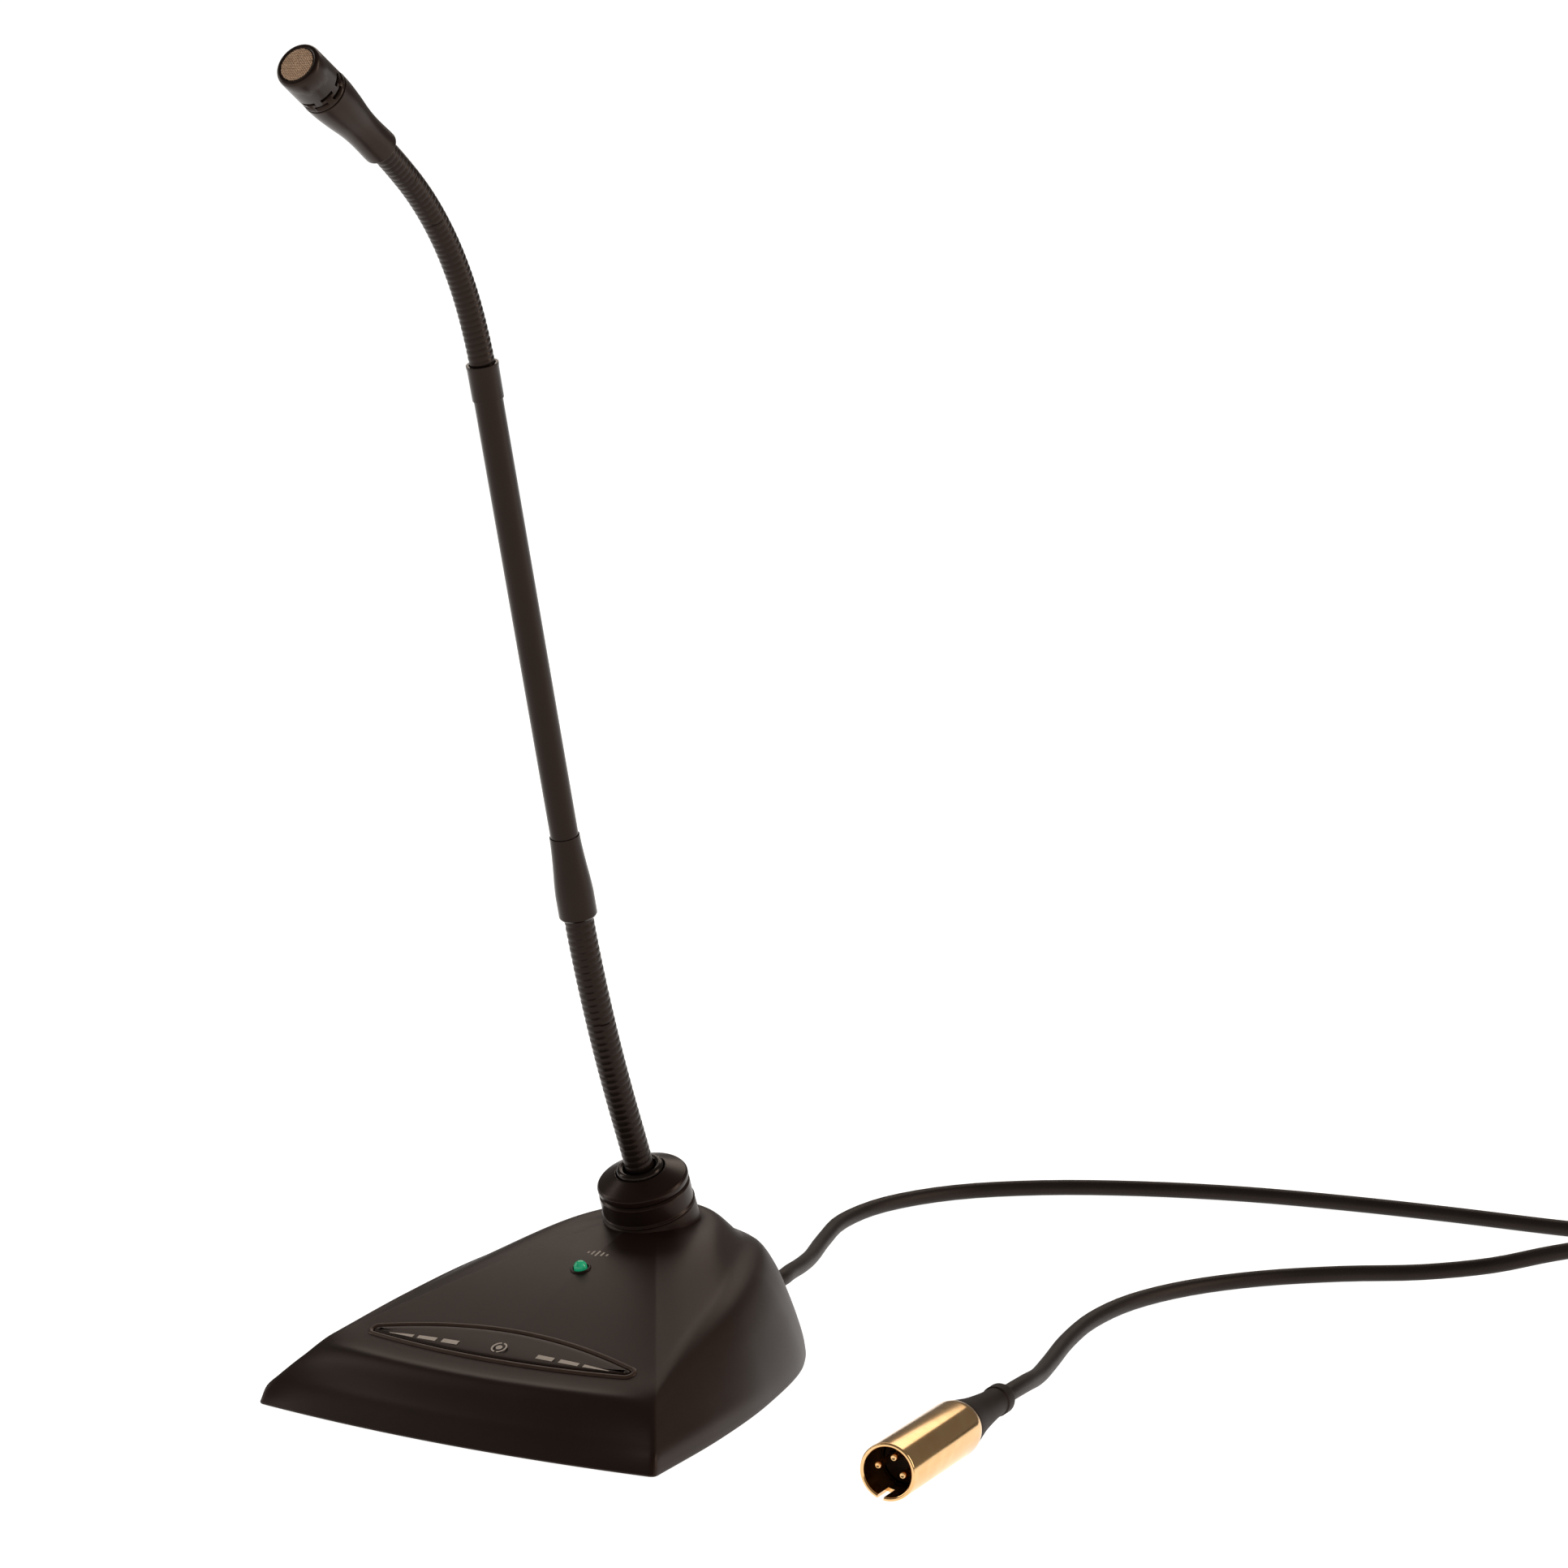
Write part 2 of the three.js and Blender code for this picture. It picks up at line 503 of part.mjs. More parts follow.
const layerTurns = COIL_TURNS / COIL_LAYERS;
const coilHalf = (layerTurns * TURN_PITCH) / 2 + CORD_R;
const coilTop = COIL_BOTTOM + (COIL_LAYERS - 1) * TURN_PITCH + 2 * CORD_R;
const coilGeometry = ring(COIL_MID_R - coilHalf, COIL_MID_R + coilHalf, COIL_BOTTOM, coilTop, 36);
place(microphone, 'cable_coil', coilGeometry, cordBlack, [...COIL_CENTRE, 0]);

// A strap round the coil's section, on the coil's side away from the base.
function tieGeometry(width) {
  const x = coilHalf + 0.9;
  const y = (coilTop - COIL_BOTTOM) / 2 + 0.4;
  const shape = new THREE.Shape(frameCorners(x + 1, y + 1));
  shape.holes.push(new THREE.Path(frameCorners(x, y).reverse()));
  return plate(shape, -width / 2, width / 2);
}
const TIE_TURN = rad(-135);
const tiePlace = [
  COIL_CENTRE[0] + COIL_MID_R * Math.cos(TIE_TURN),
  COIL_CENTRE[1] + COIL_MID_R * Math.sin(TIE_TURN),
  (coilTop + COIL_BOTTOM) / 2,
];
place(microphone, 'cable_tie', tieGeometry(8).rotateX(Math.PI / 2), rubberBlack, tiePlace, [0, 0, TIE_TURN]);

// ---- plug: shell with a key slot, insert, three pins and boot ----
const plug = new THREE.Group();
plug.position.set(...PLUG_FACE, PLUG_R);
plug.rotation.z = rad(PLUG_TURN);
microphone.add(plug);
const plugCore = new THREE.Group(); // +Z runs back from the open face
plugCore.rotation.set(-Math.PI / 2, 0, 0);
plug.add(plugCore);

function plugShell() {
  const body = solid(turned([
    [8.2, 0.3], [8.4, 0], [9.3, 0], [PLUG_R, 0.4], [PLUG_R, SHELL_LENGTH - 4], [9.3, SHELL_LENGTH - 1.2],
    [8.8, SHELL_LENGTH], [7.6, SHELL_LENGTH], [7.6, SHELL_LENGTH - 3], [8.2, SHELL_LENGTH - 6],
  ], 32));
  const key = solid(new THREE.BoxGeometry(2.2, 3, 9).translate(0, 9, 4).rotateZ(rad(PLUG_ROLL)));
  return shaped(body.subtract(key));
}
place(plugCore, 'plug_shell', plugShell(), nickelGold);
const pinPlaces = [180, 270, 0].map((degrees) => {
  const angle = rad(degrees + PLUG_ROLL);
  return [PIN_CIRCLE_R * Math.cos(angle), PIN_CIRCLE_R * Math.sin(angle), 0];
});
let insert = solid(rod(7.8, PIN_DEPTH, 30, 28));
for (const pinPlace of pinPlaces) {
  insert = insert.subtract(solid(rod(1.5, 10, 26, 10).translate(...pinPlace)));
}
place(plugCore, 'plug_insert', shaped(insert), insertBlack);
pinPlaces.forEach((pinPlace, i) => {
  const pin = turned([[0, 2.4], [0.8, 2.4], [1.2, 3.2], [1.2, 25], [0, 25]], 12);
  place(plugCore, `plug_pin_${i + 1}`, pin, nickelGold, pinPlace);
});
place(plugCore, 'plug_boot', turned([
  [0, 34], [7, 34], [7.2, SHELL_LENGTH - 3], [7.2, SHELL_LENGTH + 0.4], [8.6, SHELL_LENGTH + 0.4], [8.2, 60],
  [6.6, 68], [5.4, 77], [4.9, 84], [4.8, 88], [5.2, 88.4], [5.2, 93], [4.7, SHELL_LENGTH + BOOT_LENGTH],
  [0, SHELL_LENGTH + BOOT_LENGTH],
], 24), rubberBlack);

// The tail leaves the coil's top layer, comes down to the desk and runs back to the plug's boot.
const plugAxis = mm(-Math.sin(rad(PLUG_TURN)), Math.cos(rad(PLUG_TURN)), 0);
const bootEnd = mm(...PLUG_FACE, PLUG_R).addScaledVector(plugAxis, SHELL_LENGTH + BOOT_LENGTH + GAP);
const TAIL_ROUTE = [
  [251, 316.8, 21], [228, 316.6, 15], [205, 313, 8], [181, 305, CORD_Z + 0.6], [156, 289, CORD_Z],
  [134, 267, CORD_Z], [118, 241, CORD_Z], [110, 213, CORD_Z], [110, 184, CORD_Z], [116, 155, CORD_Z],
  [125, 127, CORD_Z + 0.4], [133.5, 103, 5.6], [138.7, 86, 8.2],
  [141.9, 70.8, PLUG_R - 0.05], bootEnd.toArray(),
];
place(microphone, 'cable_tail', cordGeometry(TAIL_ROUTE, 14), cordBlack);

export default microphone;
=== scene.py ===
import json
import math

import bmesh
import bpy
from mathutils import Matrix, Vector
from mathutils.bvhtree import BVHTree


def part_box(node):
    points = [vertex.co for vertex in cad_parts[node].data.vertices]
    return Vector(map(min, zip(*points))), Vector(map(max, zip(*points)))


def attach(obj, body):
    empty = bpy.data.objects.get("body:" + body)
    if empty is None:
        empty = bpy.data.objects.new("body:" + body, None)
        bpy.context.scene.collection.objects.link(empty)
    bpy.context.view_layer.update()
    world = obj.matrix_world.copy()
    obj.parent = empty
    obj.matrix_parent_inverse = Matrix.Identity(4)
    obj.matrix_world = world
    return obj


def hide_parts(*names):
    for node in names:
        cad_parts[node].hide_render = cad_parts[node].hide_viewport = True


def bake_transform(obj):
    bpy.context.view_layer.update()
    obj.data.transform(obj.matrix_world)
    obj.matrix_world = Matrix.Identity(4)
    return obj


# A gooseneck podium microphone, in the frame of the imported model: +Z up, the talker towards -Y, the
# base standing on z = 0. Sizes are in millimetres and made metres by MM; the room's are in metres.
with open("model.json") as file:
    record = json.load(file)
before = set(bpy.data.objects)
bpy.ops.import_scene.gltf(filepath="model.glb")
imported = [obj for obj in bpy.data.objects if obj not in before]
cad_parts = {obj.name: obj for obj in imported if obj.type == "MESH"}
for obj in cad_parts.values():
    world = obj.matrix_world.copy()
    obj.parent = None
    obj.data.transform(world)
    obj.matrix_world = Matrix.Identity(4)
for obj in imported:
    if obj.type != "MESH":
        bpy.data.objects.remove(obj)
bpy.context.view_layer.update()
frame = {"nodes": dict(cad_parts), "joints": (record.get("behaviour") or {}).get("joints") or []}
MM = 0.001

# ---- room: camera, floor and lights ----
# A long lens a little higher than the microphone's head, to the right of the talker, looks over a pale
# table top. Softboxes stand behind and at both sides, so that the base's front face stays dark.
AZIMUTH = math.radians(32.3)
ELEVATION = math.radians(9.25)
EYE = Vector((0.9669, -1.3758, 0.4848))
LENS = 118.73
SENSOR_WIDTH = 36
CLIP_END = 200
TABLE_REACH = 60
TABLE_GLOW = 0.97  # the table's own light, which keeps it even and nearly white

right = Vector((math.cos(AZIMUTH), math.sin(AZIMUTH), 0))
level_back = Vector((math.sin(AZIMUTH), -math.cos(AZIMUTH), 0))
back = level_back * math.cos(ELEVATION) + Vector((0, 0, math.sin(ELEVATION)))
up = back.cross(right)

camera = bpy.data.objects.new("camera", bpy.data.cameras.new("camera"))
camera.data.lens = LENS
camera.data.sensor_width = SENSOR_WIDTH
camera.data.clip_end = CLIP_END
camera.matrix_world = Matrix.Translation(EYE) @ Matrix((right, up, back)).transposed().to_4x4()
bpy.context.scene.collection.objects.link(camera)
bpy.context.scene.camera = camera
bpy.context.scene.view_settings.view_transform = "Standard"


def softbox(name, place, aim, size, power, tint=(1, 0.97, 0.94)):
    lamp = bpy.data.lights.new(name, "AREA")
    lamp.shape = "RECTANGLE"
    lamp.size = size[0]
    lamp.size_y = size[1]
    lamp.energy = power
    lamp.color = tint
    stand = bpy.data.objects.new(name, lamp)
    stand.location = place
    stand.rotation_euler = (Vector(aim) - Vector(place)).to_track_quat("-Z", "Y").to_euler()
    bpy.context.scene.collection.objects.link(stand)


softbox("softbox_behind", (-0.9, 1.9, 1.7), (0, 0, 0.1), (2.2, 1.2), 15, tint=(1, 0.88, 0.78))
softbox("softbox_right", (1.9, 0.9, 0.9), (0, 0, 0.15), (0.7, 1.4), 19, tint=(1, 0.9, 0.82))
softbox("softbox_left", (-1.8, -0.5, 0.9), (0, 0, 0.2), (0.5, 1.4), 8)

world = bpy.data.worlds.new("studio")
world.use_nodes = True
world.node_tree.nodes["Background"].inputs["Color"].default_value = (1, 0.92, 0.85, 1)
world.node_tree.nodes["Background"].inputs["Strength"].default_value = 0.16
bpy.context.scene.world = world


def table_top():
    made = bmesh.new()
    bmesh.ops.create_grid(made, x_segments=2, y_segments=2, size=TABLE_REACH)
    mesh = bpy.data.meshes.new("table_top")
    made.to_mesh(mesh)
    made.free()
    material = bpy.data.materials.new("pale_table")
    material.use_nodes = True
    shader = material.node_tree.nodes["Principled BSDF"]
    shader.inputs["Base Color"].default_value = (0.5, 0.5, 0.495, 1)
    shader.inputs["Roughness"].default_value = 0.9
    shader.inputs["Emission Color"].default_value = (1, 1, 1, 1)
    shader.inputs["Emission Strength"].default_value = TABLE_GLOW
    mesh.materials.append(material)
    floor = bpy.data.objects.new("table_top", mesh)
    bpy.context.scene.collection.objects.link(floor)


table_top()


# ---- cable ----
# A 6 mm microphone cable with a satin black jacket, moulded into the gland at the base's rear end.
# It swings back and to the right, is wound into a tied coil and comes forward again to its plug.
FRONT_Y = -50.35  # the line through the base's two front corners
BASE_LENGTH = 176  # from that line to the rear end
BASE_REAR = FRONT_Y + BASE_LENGTH
GLAND_Z = 10
GLAND_LENGTH = 20  # behind the cover
GLAND_GAP = 0.3
CORD_R = 3
CORD_Z = 3.3
GLAND_END = (0, BASE_REAR + (GLAND_LENGTH + GLAND_GAP), GLAND_Z)
COIL_CENTRE = (275, 357)
COIL_MID_R = 32.2
COIL_LAYERS = 4
COIL_TURNS = 10.5
TURN_PITCH = 6.2
COIL_BOTTOM = 1.8
COIL_STEPS_PER_TURN = 16
PLUG_R = 9.5
PLUG_FACE = (154.9, -30.7, PLUG_R)
PLUG_TURN = math.radians(7.3)
SHELL_LENGTH = 56
BOOT_LENGTH = 38


class Level:
    """A number or colour that changes over a surface. Sums on it add Math nodes to its finish."""

    def __init__(self, finish, socket):
        self.finish = finish
        self.socket = socket

    def maths(self, operation, first, second):
        return self.finish.node("ShaderNodeMath", {"operation": operation}, {0: first, 1: second})

    def __add__(self, other):
        return self.maths("ADD", self, other)

    def __mul__(self, other):
        return self.maths("MULTIPLY", self, other)

    __radd__ = __add__
    __rmul__ = __mul__


class Finish:
    """A surface finish: one Principled shader, whose constant values are given by socket name."""

    def __init__(self, name, **constants):
        self.material = bpy.data.materials.new(name)
        self.material.use_nodes = True
        self.shader = self.material.node_tree.nodes["Principled BSDF"]
        for socket, value in constants.items():
            self.shader.inputs[socket.replace("_", " ")].default_value = value

    def node(self, kind, settings, values, output=0):
        made = self.material.node_tree.nodes.new(kind)
        for key, value in settings.items():
            setattr(made, key, value)
        for key, value in values.items():
            self.feed(made.inputs[key], value)
        return Level(self, made.outputs[output])

    def feed(self, socket, value):
        if isinstance(value, Level):
            self.material.node_tree.links.new(value.socket, socket)
        else:
            socket.default_value = value

    def set(self, socket, value):
        self.feed(self.shader.inputs[socket], value)

    def mottle(self, size, detail=3):
        """Soft noise from 0 to 1, with patches of that many millimetres."""
        place = self.node("ShaderNodeTexCoord", {}, {}, output=3)
        values = {"Vector": place, "Scale": 1 / (size * MM), "Detail": detail}
        return self.node("ShaderNodeTexNoise", {}, values)

    def between(self, share, low, high):
        return self.node("ShaderNodeMix", {"data_type": "RGBA"}, {0: share, 6: low, 7: high}, output=2)

    def grain(self, height, depth):
        """A bump of that depth in millimetres."""
        values = {"Height": height, "Distance": depth * MM, "Strength": 1.0}
        self.set("Normal", self.node("ShaderNodeBump", {}, values))


def tone(red, green, blue):
    """A colour on a 0 to 255 screen scale, as linear light."""
    return tuple(((c / 255 + 0.055) / 1.055) ** 2.4 for c in (red, green, blue)) + (1,)


def satin(name, dark, light, roughness, grain=0.45, depth=0.012, spread=0.08, patch=9, **constants):
    """A moulded, painted or anodised surface: cloudy tone, uneven gloss and a fine orange-peel grain."""
    constants = {"Specular_IOR_Level": 0.22, "Specular_Tint": (1, 0.74, 0.6, 1)} | constants
    finish = Finish(name, **constants)
    clouds = finish.mottle(patch)
    fine = finish.mottle(grain, detail=2)
    finish.set("Base Color", finish.between(clouds, dark, light))
    finish.set("Roughness", clouds * spread + fine * spread + (roughness - spread))
    finish.grain(fine, depth)
    return finish.material


def dress(piece, material, body, slot, *nodes):
    """Gives a piece its material, the body it rides on and the CAD nodes that it stands for. The slot is not
    used.
    """
    piece.data.materials.clear()
    piece.data.materials.append(material)
    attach(piece, body)
    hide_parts(*nodes)
    return piece


def smooth_path(points, per_span):
    """A centripetal Catmull-Rom curve through the points, with per_span steps between neighbours."""
    points = [Vector(p) for p in points]
    ends = [2 * points[0] - points[1], *points, 2 * points[-1] - points[-2]]
    path = []
    for before, first, second, after in zip(ends, ends[1:], ends[2:], ends[3:]):
        a = math.sqrt((first - before).length)
        b = math.sqrt((second - first).length)
        c = math.sqrt((after - second).length)
        leave = ((first - before) / a - (second - before) / (a + b) + (second - first) / b) * b
        arrive = ((second - first) / b - (after - first) / (b + c) + (after - second) / c) * b
        for step in range(per_span):
            t = step / per_span
            path.append(
                first * (1 - 3 * t * t + 2 * t**3) + leave * (t - 2 * t * t + t**3)
                + second * (3 * t * t - 2 * t**3) + arrive * (t**3 - t * t)
            )
    return [*path, points[-1]]


LEAD_ROUTE = [
    GLAND_END, (-0.3, GLAND_END[1] + 6.7, GLAND_Z), (-4, 164, 9.2), (-9, 179, 7.6), (-17, 199, 5.4),
    (-30, 229, 3.7), (-40, 259, CORD_Z), (-40, 290, CORD_Z), (-27, 321, CORD_Z), (-2, 346, CORD_Z),
    (31, 365, CORD_Z), (70, 379, CORD_Z), (110, 387, CORD_Z), (152, 392, CORD_Z), (194, 395, CORD_Z),
    (228, 397, 4), (250, 397.2, 4.8),
]
plug_axis = Vector((-math.sin(PLUG_TURN), math.cos(PLUG_TURN), 0))
BOOT_GAP = 0.3
boot_end = Vector(PLUG_FACE) + plug_axis * (SHELL_LENGTH + BOOT_LENGTH + BOOT_GAP)
TAIL_ROUTE = [
    (251, 316.8, 21), (228, 316.6, 15), (205, 313, 8), (181, 305, 3.9), (156, 289, CORD_Z),
    (134, 267, CORD_Z), (118, 241, CORD_Z), (110, 213, CORD_Z), (110, 184, CORD_Z), (116, 155, CORD_Z),
    (125, 127, 3.7), (133.5, 103, 5.6), (138.7, 86, 8.2), (141.9, 70.8, 9.45), boot_end,
]


def coil_route():
    """Turns wound clockwise in layers, inwards and outwards by turns, a step up at each reversal."""
    layer_turns = COIL_TURNS / COIL_LAYERS
    steps = round(COIL_TURNS * COIL_STEPS_PER_TURN)
    route = []
    for step in range(steps + 1):
        turns = COIL_TURNS * step / steps
        layer = min(int(turns / layer_turns), COIL_LAYERS - 1)
        share = turns / layer_turns - layer
        inward = share if layer % 2 == 0 else 1 - share
        radius = COIL_MID_R + (0.5 - inward) * layer_turns * TURN_PITCH
        climb = 0
        for change in range(1, COIL_LAYERS):
            rise = min(max((turns / layer_turns - change) * layer_turns * 4 + 0.5, 0), 1)
            climb += rise * rise * (3 - 2 * rise)
        angle = math.pi / 2 - 2 * math.pi * turns
        route.append((
            COIL_CENTRE[0] + radius * math.cos(angle),
            COIL_CENTRE[1] + radius * math.sin(angle),
            COIL_BOTTOM + CORD_R + climb * TURN_PITCH,
        ))
    return route


def cable():
    route = smooth_path([*LEAD_ROUTE, *coil_route(), *TAIL_ROUTE], 4)
    curve = bpy.data.curves.new("cable", "CURVE")
    curve.dimensions = "3D"
    line = curve.splines.new("POLY")
    line.points.add(len(route) - 1)
    for point, place in zip(line.points, route):
        point.co = (*(place * MM), 1)
    curve.bevel_depth = CORD_R * MM
    curve.bevel_resolution = 5
    curve.use_fill_caps = True
    piece = bpy.data.objects.new("cable", curve)
    bpy.context.scene.collection.objects.link(piece)
    return piece


jacket = satin("cable_jacket", tone(20, 17, 16), tone(38, 33, 31), 0.5, grain=0.8, depth=0.02, patch=30)
cord = dress(cable(), jacket, "base", "cord", "cable_lead", "cable_coil", "cable_tail")


# ---- plug ----
# A three-pin audio plug: a polished gold-toned shell with a key slot, a black insert that holds the
# pins, and a flared rubber boot pushed in from the rear. It lies on the table, its open end forward.
PIN_CIRCLE_R = 4.4
PIN_ANGLES = (180, 270, 0)
PIN_DEPTH = 15  # from the shell's open end to the insert's face
PLUG_ROLL = math.radians(15)
plug_place = (
    Matrix.Translation(Vector(PLUG_FACE)) @ Matrix.Rotation(PLUG_TURN, 4, "Z")
    @ Matrix.Rotation(-math.pi / 2, 4, "X")
)


def piece_of(name, made, place=Matrix.Identity(4), round_by=0.0):
    """A finished object from a bmesh in millimetres: placed, its edges rounded and its faces smooth."""
    bmesh.ops.recalc_face_normals(made, faces=made.faces)
    made.transform(Matrix.Scale(MM, 4) @ place)
    mesh = bpy.data.meshes.new(name)
    made.to_mesh(mesh)
    made.free()
    mesh.shade_smooth()
    piece = bpy.data.objects.new(name, mesh)
    bpy.context.scene.collection.objects.link(piece)
    if round_by:
        bevel = piece.modifiers.new("rounding", "BEVEL")
        bevel.width = round_by * MM
        bevel.segments = 3
        bevel.limit_method = "ANGLE"
        bevel.angle_limit = math.radians(25)
        bevel.harden_normals = True
    return piece


def turned(profile, steps=80):
    """A solid turned round +Z from a closed profile of [radius, height]."""
    made = bmesh.new()
    rings = []
    for radius, height in profile:
        spokes = [2 * math.pi * i / steps for i in range(steps)] if radius else [0]
        rings.append([made.verts.new((radius * math.cos(a), radius * math.sin(a), height)) for a in spokes])
    for low, high in zip(rings, rings[1:] + rings[:1]):
        for i in range(steps):
            corners = [low[i % len(low)], low[(i + 1) % len(low)]]
            corners += [high[(i + 1) % len(high)], high[i % len(high)]]
            corners = list(dict.fromkeys(corners))
            if len(corners) > 2:
                made.faces.new(corners)
    return made


def rounded(profile):
    """A profile's points joined by a smooth curve, for stretches that swell or taper."""
    return [(p.x, p.y) for p in smooth_path([(r, z, 0) for r, z in profile], 5)]


def cut(piece, *tools):
    """Takes the tools' solids out of a piece."""
    for tool in tools:
        boolean = piece.modifiers.new("cut", "BOOLEAN")
        boolean.operation = "DIFFERENCE"
        boolean.solver = "EXACT"
        boolean.object = tool
    settle(piece)
    for tool in tools:
        bpy.data.objects.remove(tool)


def settle(piece):
    """Makes a piece's modifiers part of its mesh, with its sharp edges kept sharp."""
    bpy.context.view_layer.update()
    shown = piece.evaluated_get(bpy.context.evaluated_depsgraph_get())
    mesh = bpy.data.meshes.new_from_object(shown)
    piece.modifiers.clear()
    piece.data = mesh
    mesh.shade_smooth()
    mesh.set_sharp_from_angle(angle=math.radians(35))


def box_tool(size, place):
    made = bmesh.new()
    bmesh.ops.create_cube(made, size=1)
    made.transform(Matrix.Diagonal((*size, 1)))
    return piece_of("tool", made, place)


plug_gold = Finish("plug_gold", Metallic=1.0)
brushing = plug_gold.mottle(0.25, detail=2)
plug_gold.set("Base Color", plug_gold.between(plug_gold.mottle(6), tone(226, 178, 116), tone(246, 208, 154)))
plug_gold.set("Roughness", brushing * 0.06 + 0.13)
plug_gold.grain(brushing, 0.003)
insert_black = satin("plug_insert_black", tone(14, 12, 12), tone(26, 23, 22), 0.55)
rubber = satin("moulded_rubber", tone(18, 14, 13), tone(34, 28, 26), 0.62, grain=0.35, depth=0.015)

shell = piece_of("plug_shell_turned", turned([
    (8.2, 0.4), (8.6, 0), (9.2, 0), (9.5, 0.4), (9.5, SHELL_LENGTH - 4), (9.4, SHELL_LENGTH - 2.4),
    (9.1, SHELL_LENGTH - 0.8), (8.8, SHELL_LENGTH),
    (7.6, SHELL_LENGTH), (7.6, SHELL_LENGTH - 3), (8.2, SHELL_LENGTH - 6),
]), plug_place, round_by=0.15)
settle(shell)
slot_place = plug_place @ Matrix.Rotation(PLUG_ROLL, 4, "Z") @ Matrix.Translation((0, 9, 4))
cut(shell, box_tool((2.2, 3, 9), slot_place))
dress(shell, plug_gold.material, "base", "plug_metal", "plug_shell")

pin_turns = [math.radians(a) + PLUG_ROLL for a in PIN_ANGLES]
pin_places = [Vector((math.cos(a), math.sin(a), 0)) * PIN_CIRCLE_R for a in pin_turns]
insert = piece_of("plug_insert_moulded", turned([
    (0, PIN_DEPTH), (6.9, PIN_DEPTH), (7.1, PIN_DEPTH + 0.7), (7.8, PIN_DEPTH + 0.7), (7.8, 30), (0, 30),
]), plug_place, round_by=0.12)
settle(insert)
cut(insert, *[
    piece_of("tool", turned([(0, 10), (1.5, 10), (1.5, 26), (0, 26)], 32), plug_place @ Matrix.Translation(p))
    for p in pin_places
])
dress(insert, insert_black, "base", "plug_insert", "plug_insert")
for number, place in enumerate(pin_places, 1):
    pin = piece_of(f"plug_pin_{number}_turned", turned([
        (0, 2.75), (0.35, 2.6), (0.7, 2.4), (0.95, 2.5), (1.15, 2.9), (1.2, 3.4), (1.2, 25), (0, 25),
    ], 40), plug_place @ Matrix.Translation(place), round_by=0.06)
    dress(pin, plug_gold.material, "base", "plug_metal", f"plug_pin_{number}")

boot = piece_of("plug_boot_moulded", turned([
    (0, 34), (7, 34), (7.2, SHELL_LENGTH - 3), (7.2, SHELL_LENGTH + 0.4), (8.6, SHELL_LENGTH + 0.4),
    *rounded([(8.6, 57.4), (8.1, 60), (6.6, 68), (5.5, 77), (4.9, 84), (4.75, 87.6)]),
    (5.2, 88.2), (5.2, 92.6), (4.7, SHELL_LENGTH + BOOT_LENGTH), (0, SHELL_LENGTH + BOOT_LENGTH),
]), plug_place, round_by=0.25)
dress(boot, rubber, "base", "rubber_part", "plug_boot")


# ---- cable tie ----
# A soft rubber strap, moulded as one closed band, round all the turns on one side of the coil, so that
# they stay together on a shelf.
STRAP_HALF_WIDTH = 4
STRAP_THICKNESS = 0.95
STRAP_CORNER_R = 3
STRAP_CLEAR = 0.9
STRAP_TURN = math.radians(-135)


def cable_tie():
    low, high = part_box("cable_tie")
    centre = (low + high) / 2 / MM
    half_turns = COIL_TURNS / COIL_LAYERS * TURN_PITCH / 2 + CORD_R
    across = half_turns + STRAP_CLEAR
    tall = (high.z - low.z) / MM / 2 - 1
    turn = Matrix.Translation(centre) @ Matrix.Rotation(STRAP_TURN, 4, "Z")
    made = bmesh.new()
    rings = []
    for side in (-STRAP_HALF_WIDTH, STRAP_HALF_WIDTH):
        for grow in (0, STRAP_THICKNESS):
            ring = []
            for corner in range(4):
                x_sign = 1 if corner in (0, 3) else -1
                z_sign = 1 if corner < 2 else -1
                for step in range(7):
                    angle = math.pi / 2 * (corner + step / 6)
                    reach = STRAP_CORNER_R + grow
                    x = x_sign * (across - STRAP_CORNER_R) + reach * math.cos(angle)
                    z = z_sign * (tall - STRAP_CORNER_R) + reach * math.sin(angle)
                    ring.append(made.verts.new((x, side, z)))
            rings.append(ring)
    for a, b in ((0, 1), (1, 3), (3, 2), (2, 0)):
        count = len(rings[a])
        for i in range(count):
            j = (i + 1) % count
            made.faces.new((rings[a][i], rings[a][j], rings[b][j], rings[b][i]))
    return piece_of("cable_tie_strap", made, turn, round_by=0.3)


dress(cable_tie(), rubber, "base", "rubber_part", "cable_tie")


# ---- cable gland ----
# The moulded strain relief at the rear end: a tapered rubber sleeve with flex rings, held by its own
# flange inside the cover.
gland_place = Matrix.Translation((0, BASE_REAR, GLAND_Z)) @ Matrix.Rotation(-math.pi / 2, 4, "X")
gland_profile = [(0, -21), (6.2, -21), (6.2, -18.5), (4.6, -18.5), (4.6, 1)]
FLEX_RINGS = 5
FLEX_PITCH = 3.2
FLEX_TAPER = 0.16
for ring in range(FLEX_RINGS):
    start = 2 + ring * FLEX_PITCH
    radius = 4.55 - ring * FLEX_TAPER
    gland_profile += [(radius, start), (radius, start + 1.9)]
    gland_profile += [(radius - 0.55, start + 2.2), (radius - 0.55, start + 2.9)]
gland_profile += [(3.8, 18.4), (3.6, GLAND_LENGTH), (0, GLAND_LENGTH)]
gland = piece_of("cable_gland_moulded", turned(gland_profile), gland_place, round_by=0.2)
dress(gland, rubber, "base", "rubber_part", "cable_gland")


# ---- bottom plate, feet and screws ----
# A galvanised steel plate closes the base from below. Four self-tapping screws hold it to the cover's
# posts, and soft rubber feet are glued to it.
def finish_nodes(material, *names):
    """Gives carried-over CAD nodes a material and softens their edges."""
    for name in names:
        node = frame["nodes"][name]
        node.data.materials.clear()
        node.data.materials.append(material)
        bevel = node.modifiers.new("rounding", "BEVEL")
        bevel.width = 0.12 * MM
        bevel.segments = 2
        bevel.limit_method = "ANGLE"
        bevel.angle_limit = math.radians(40)


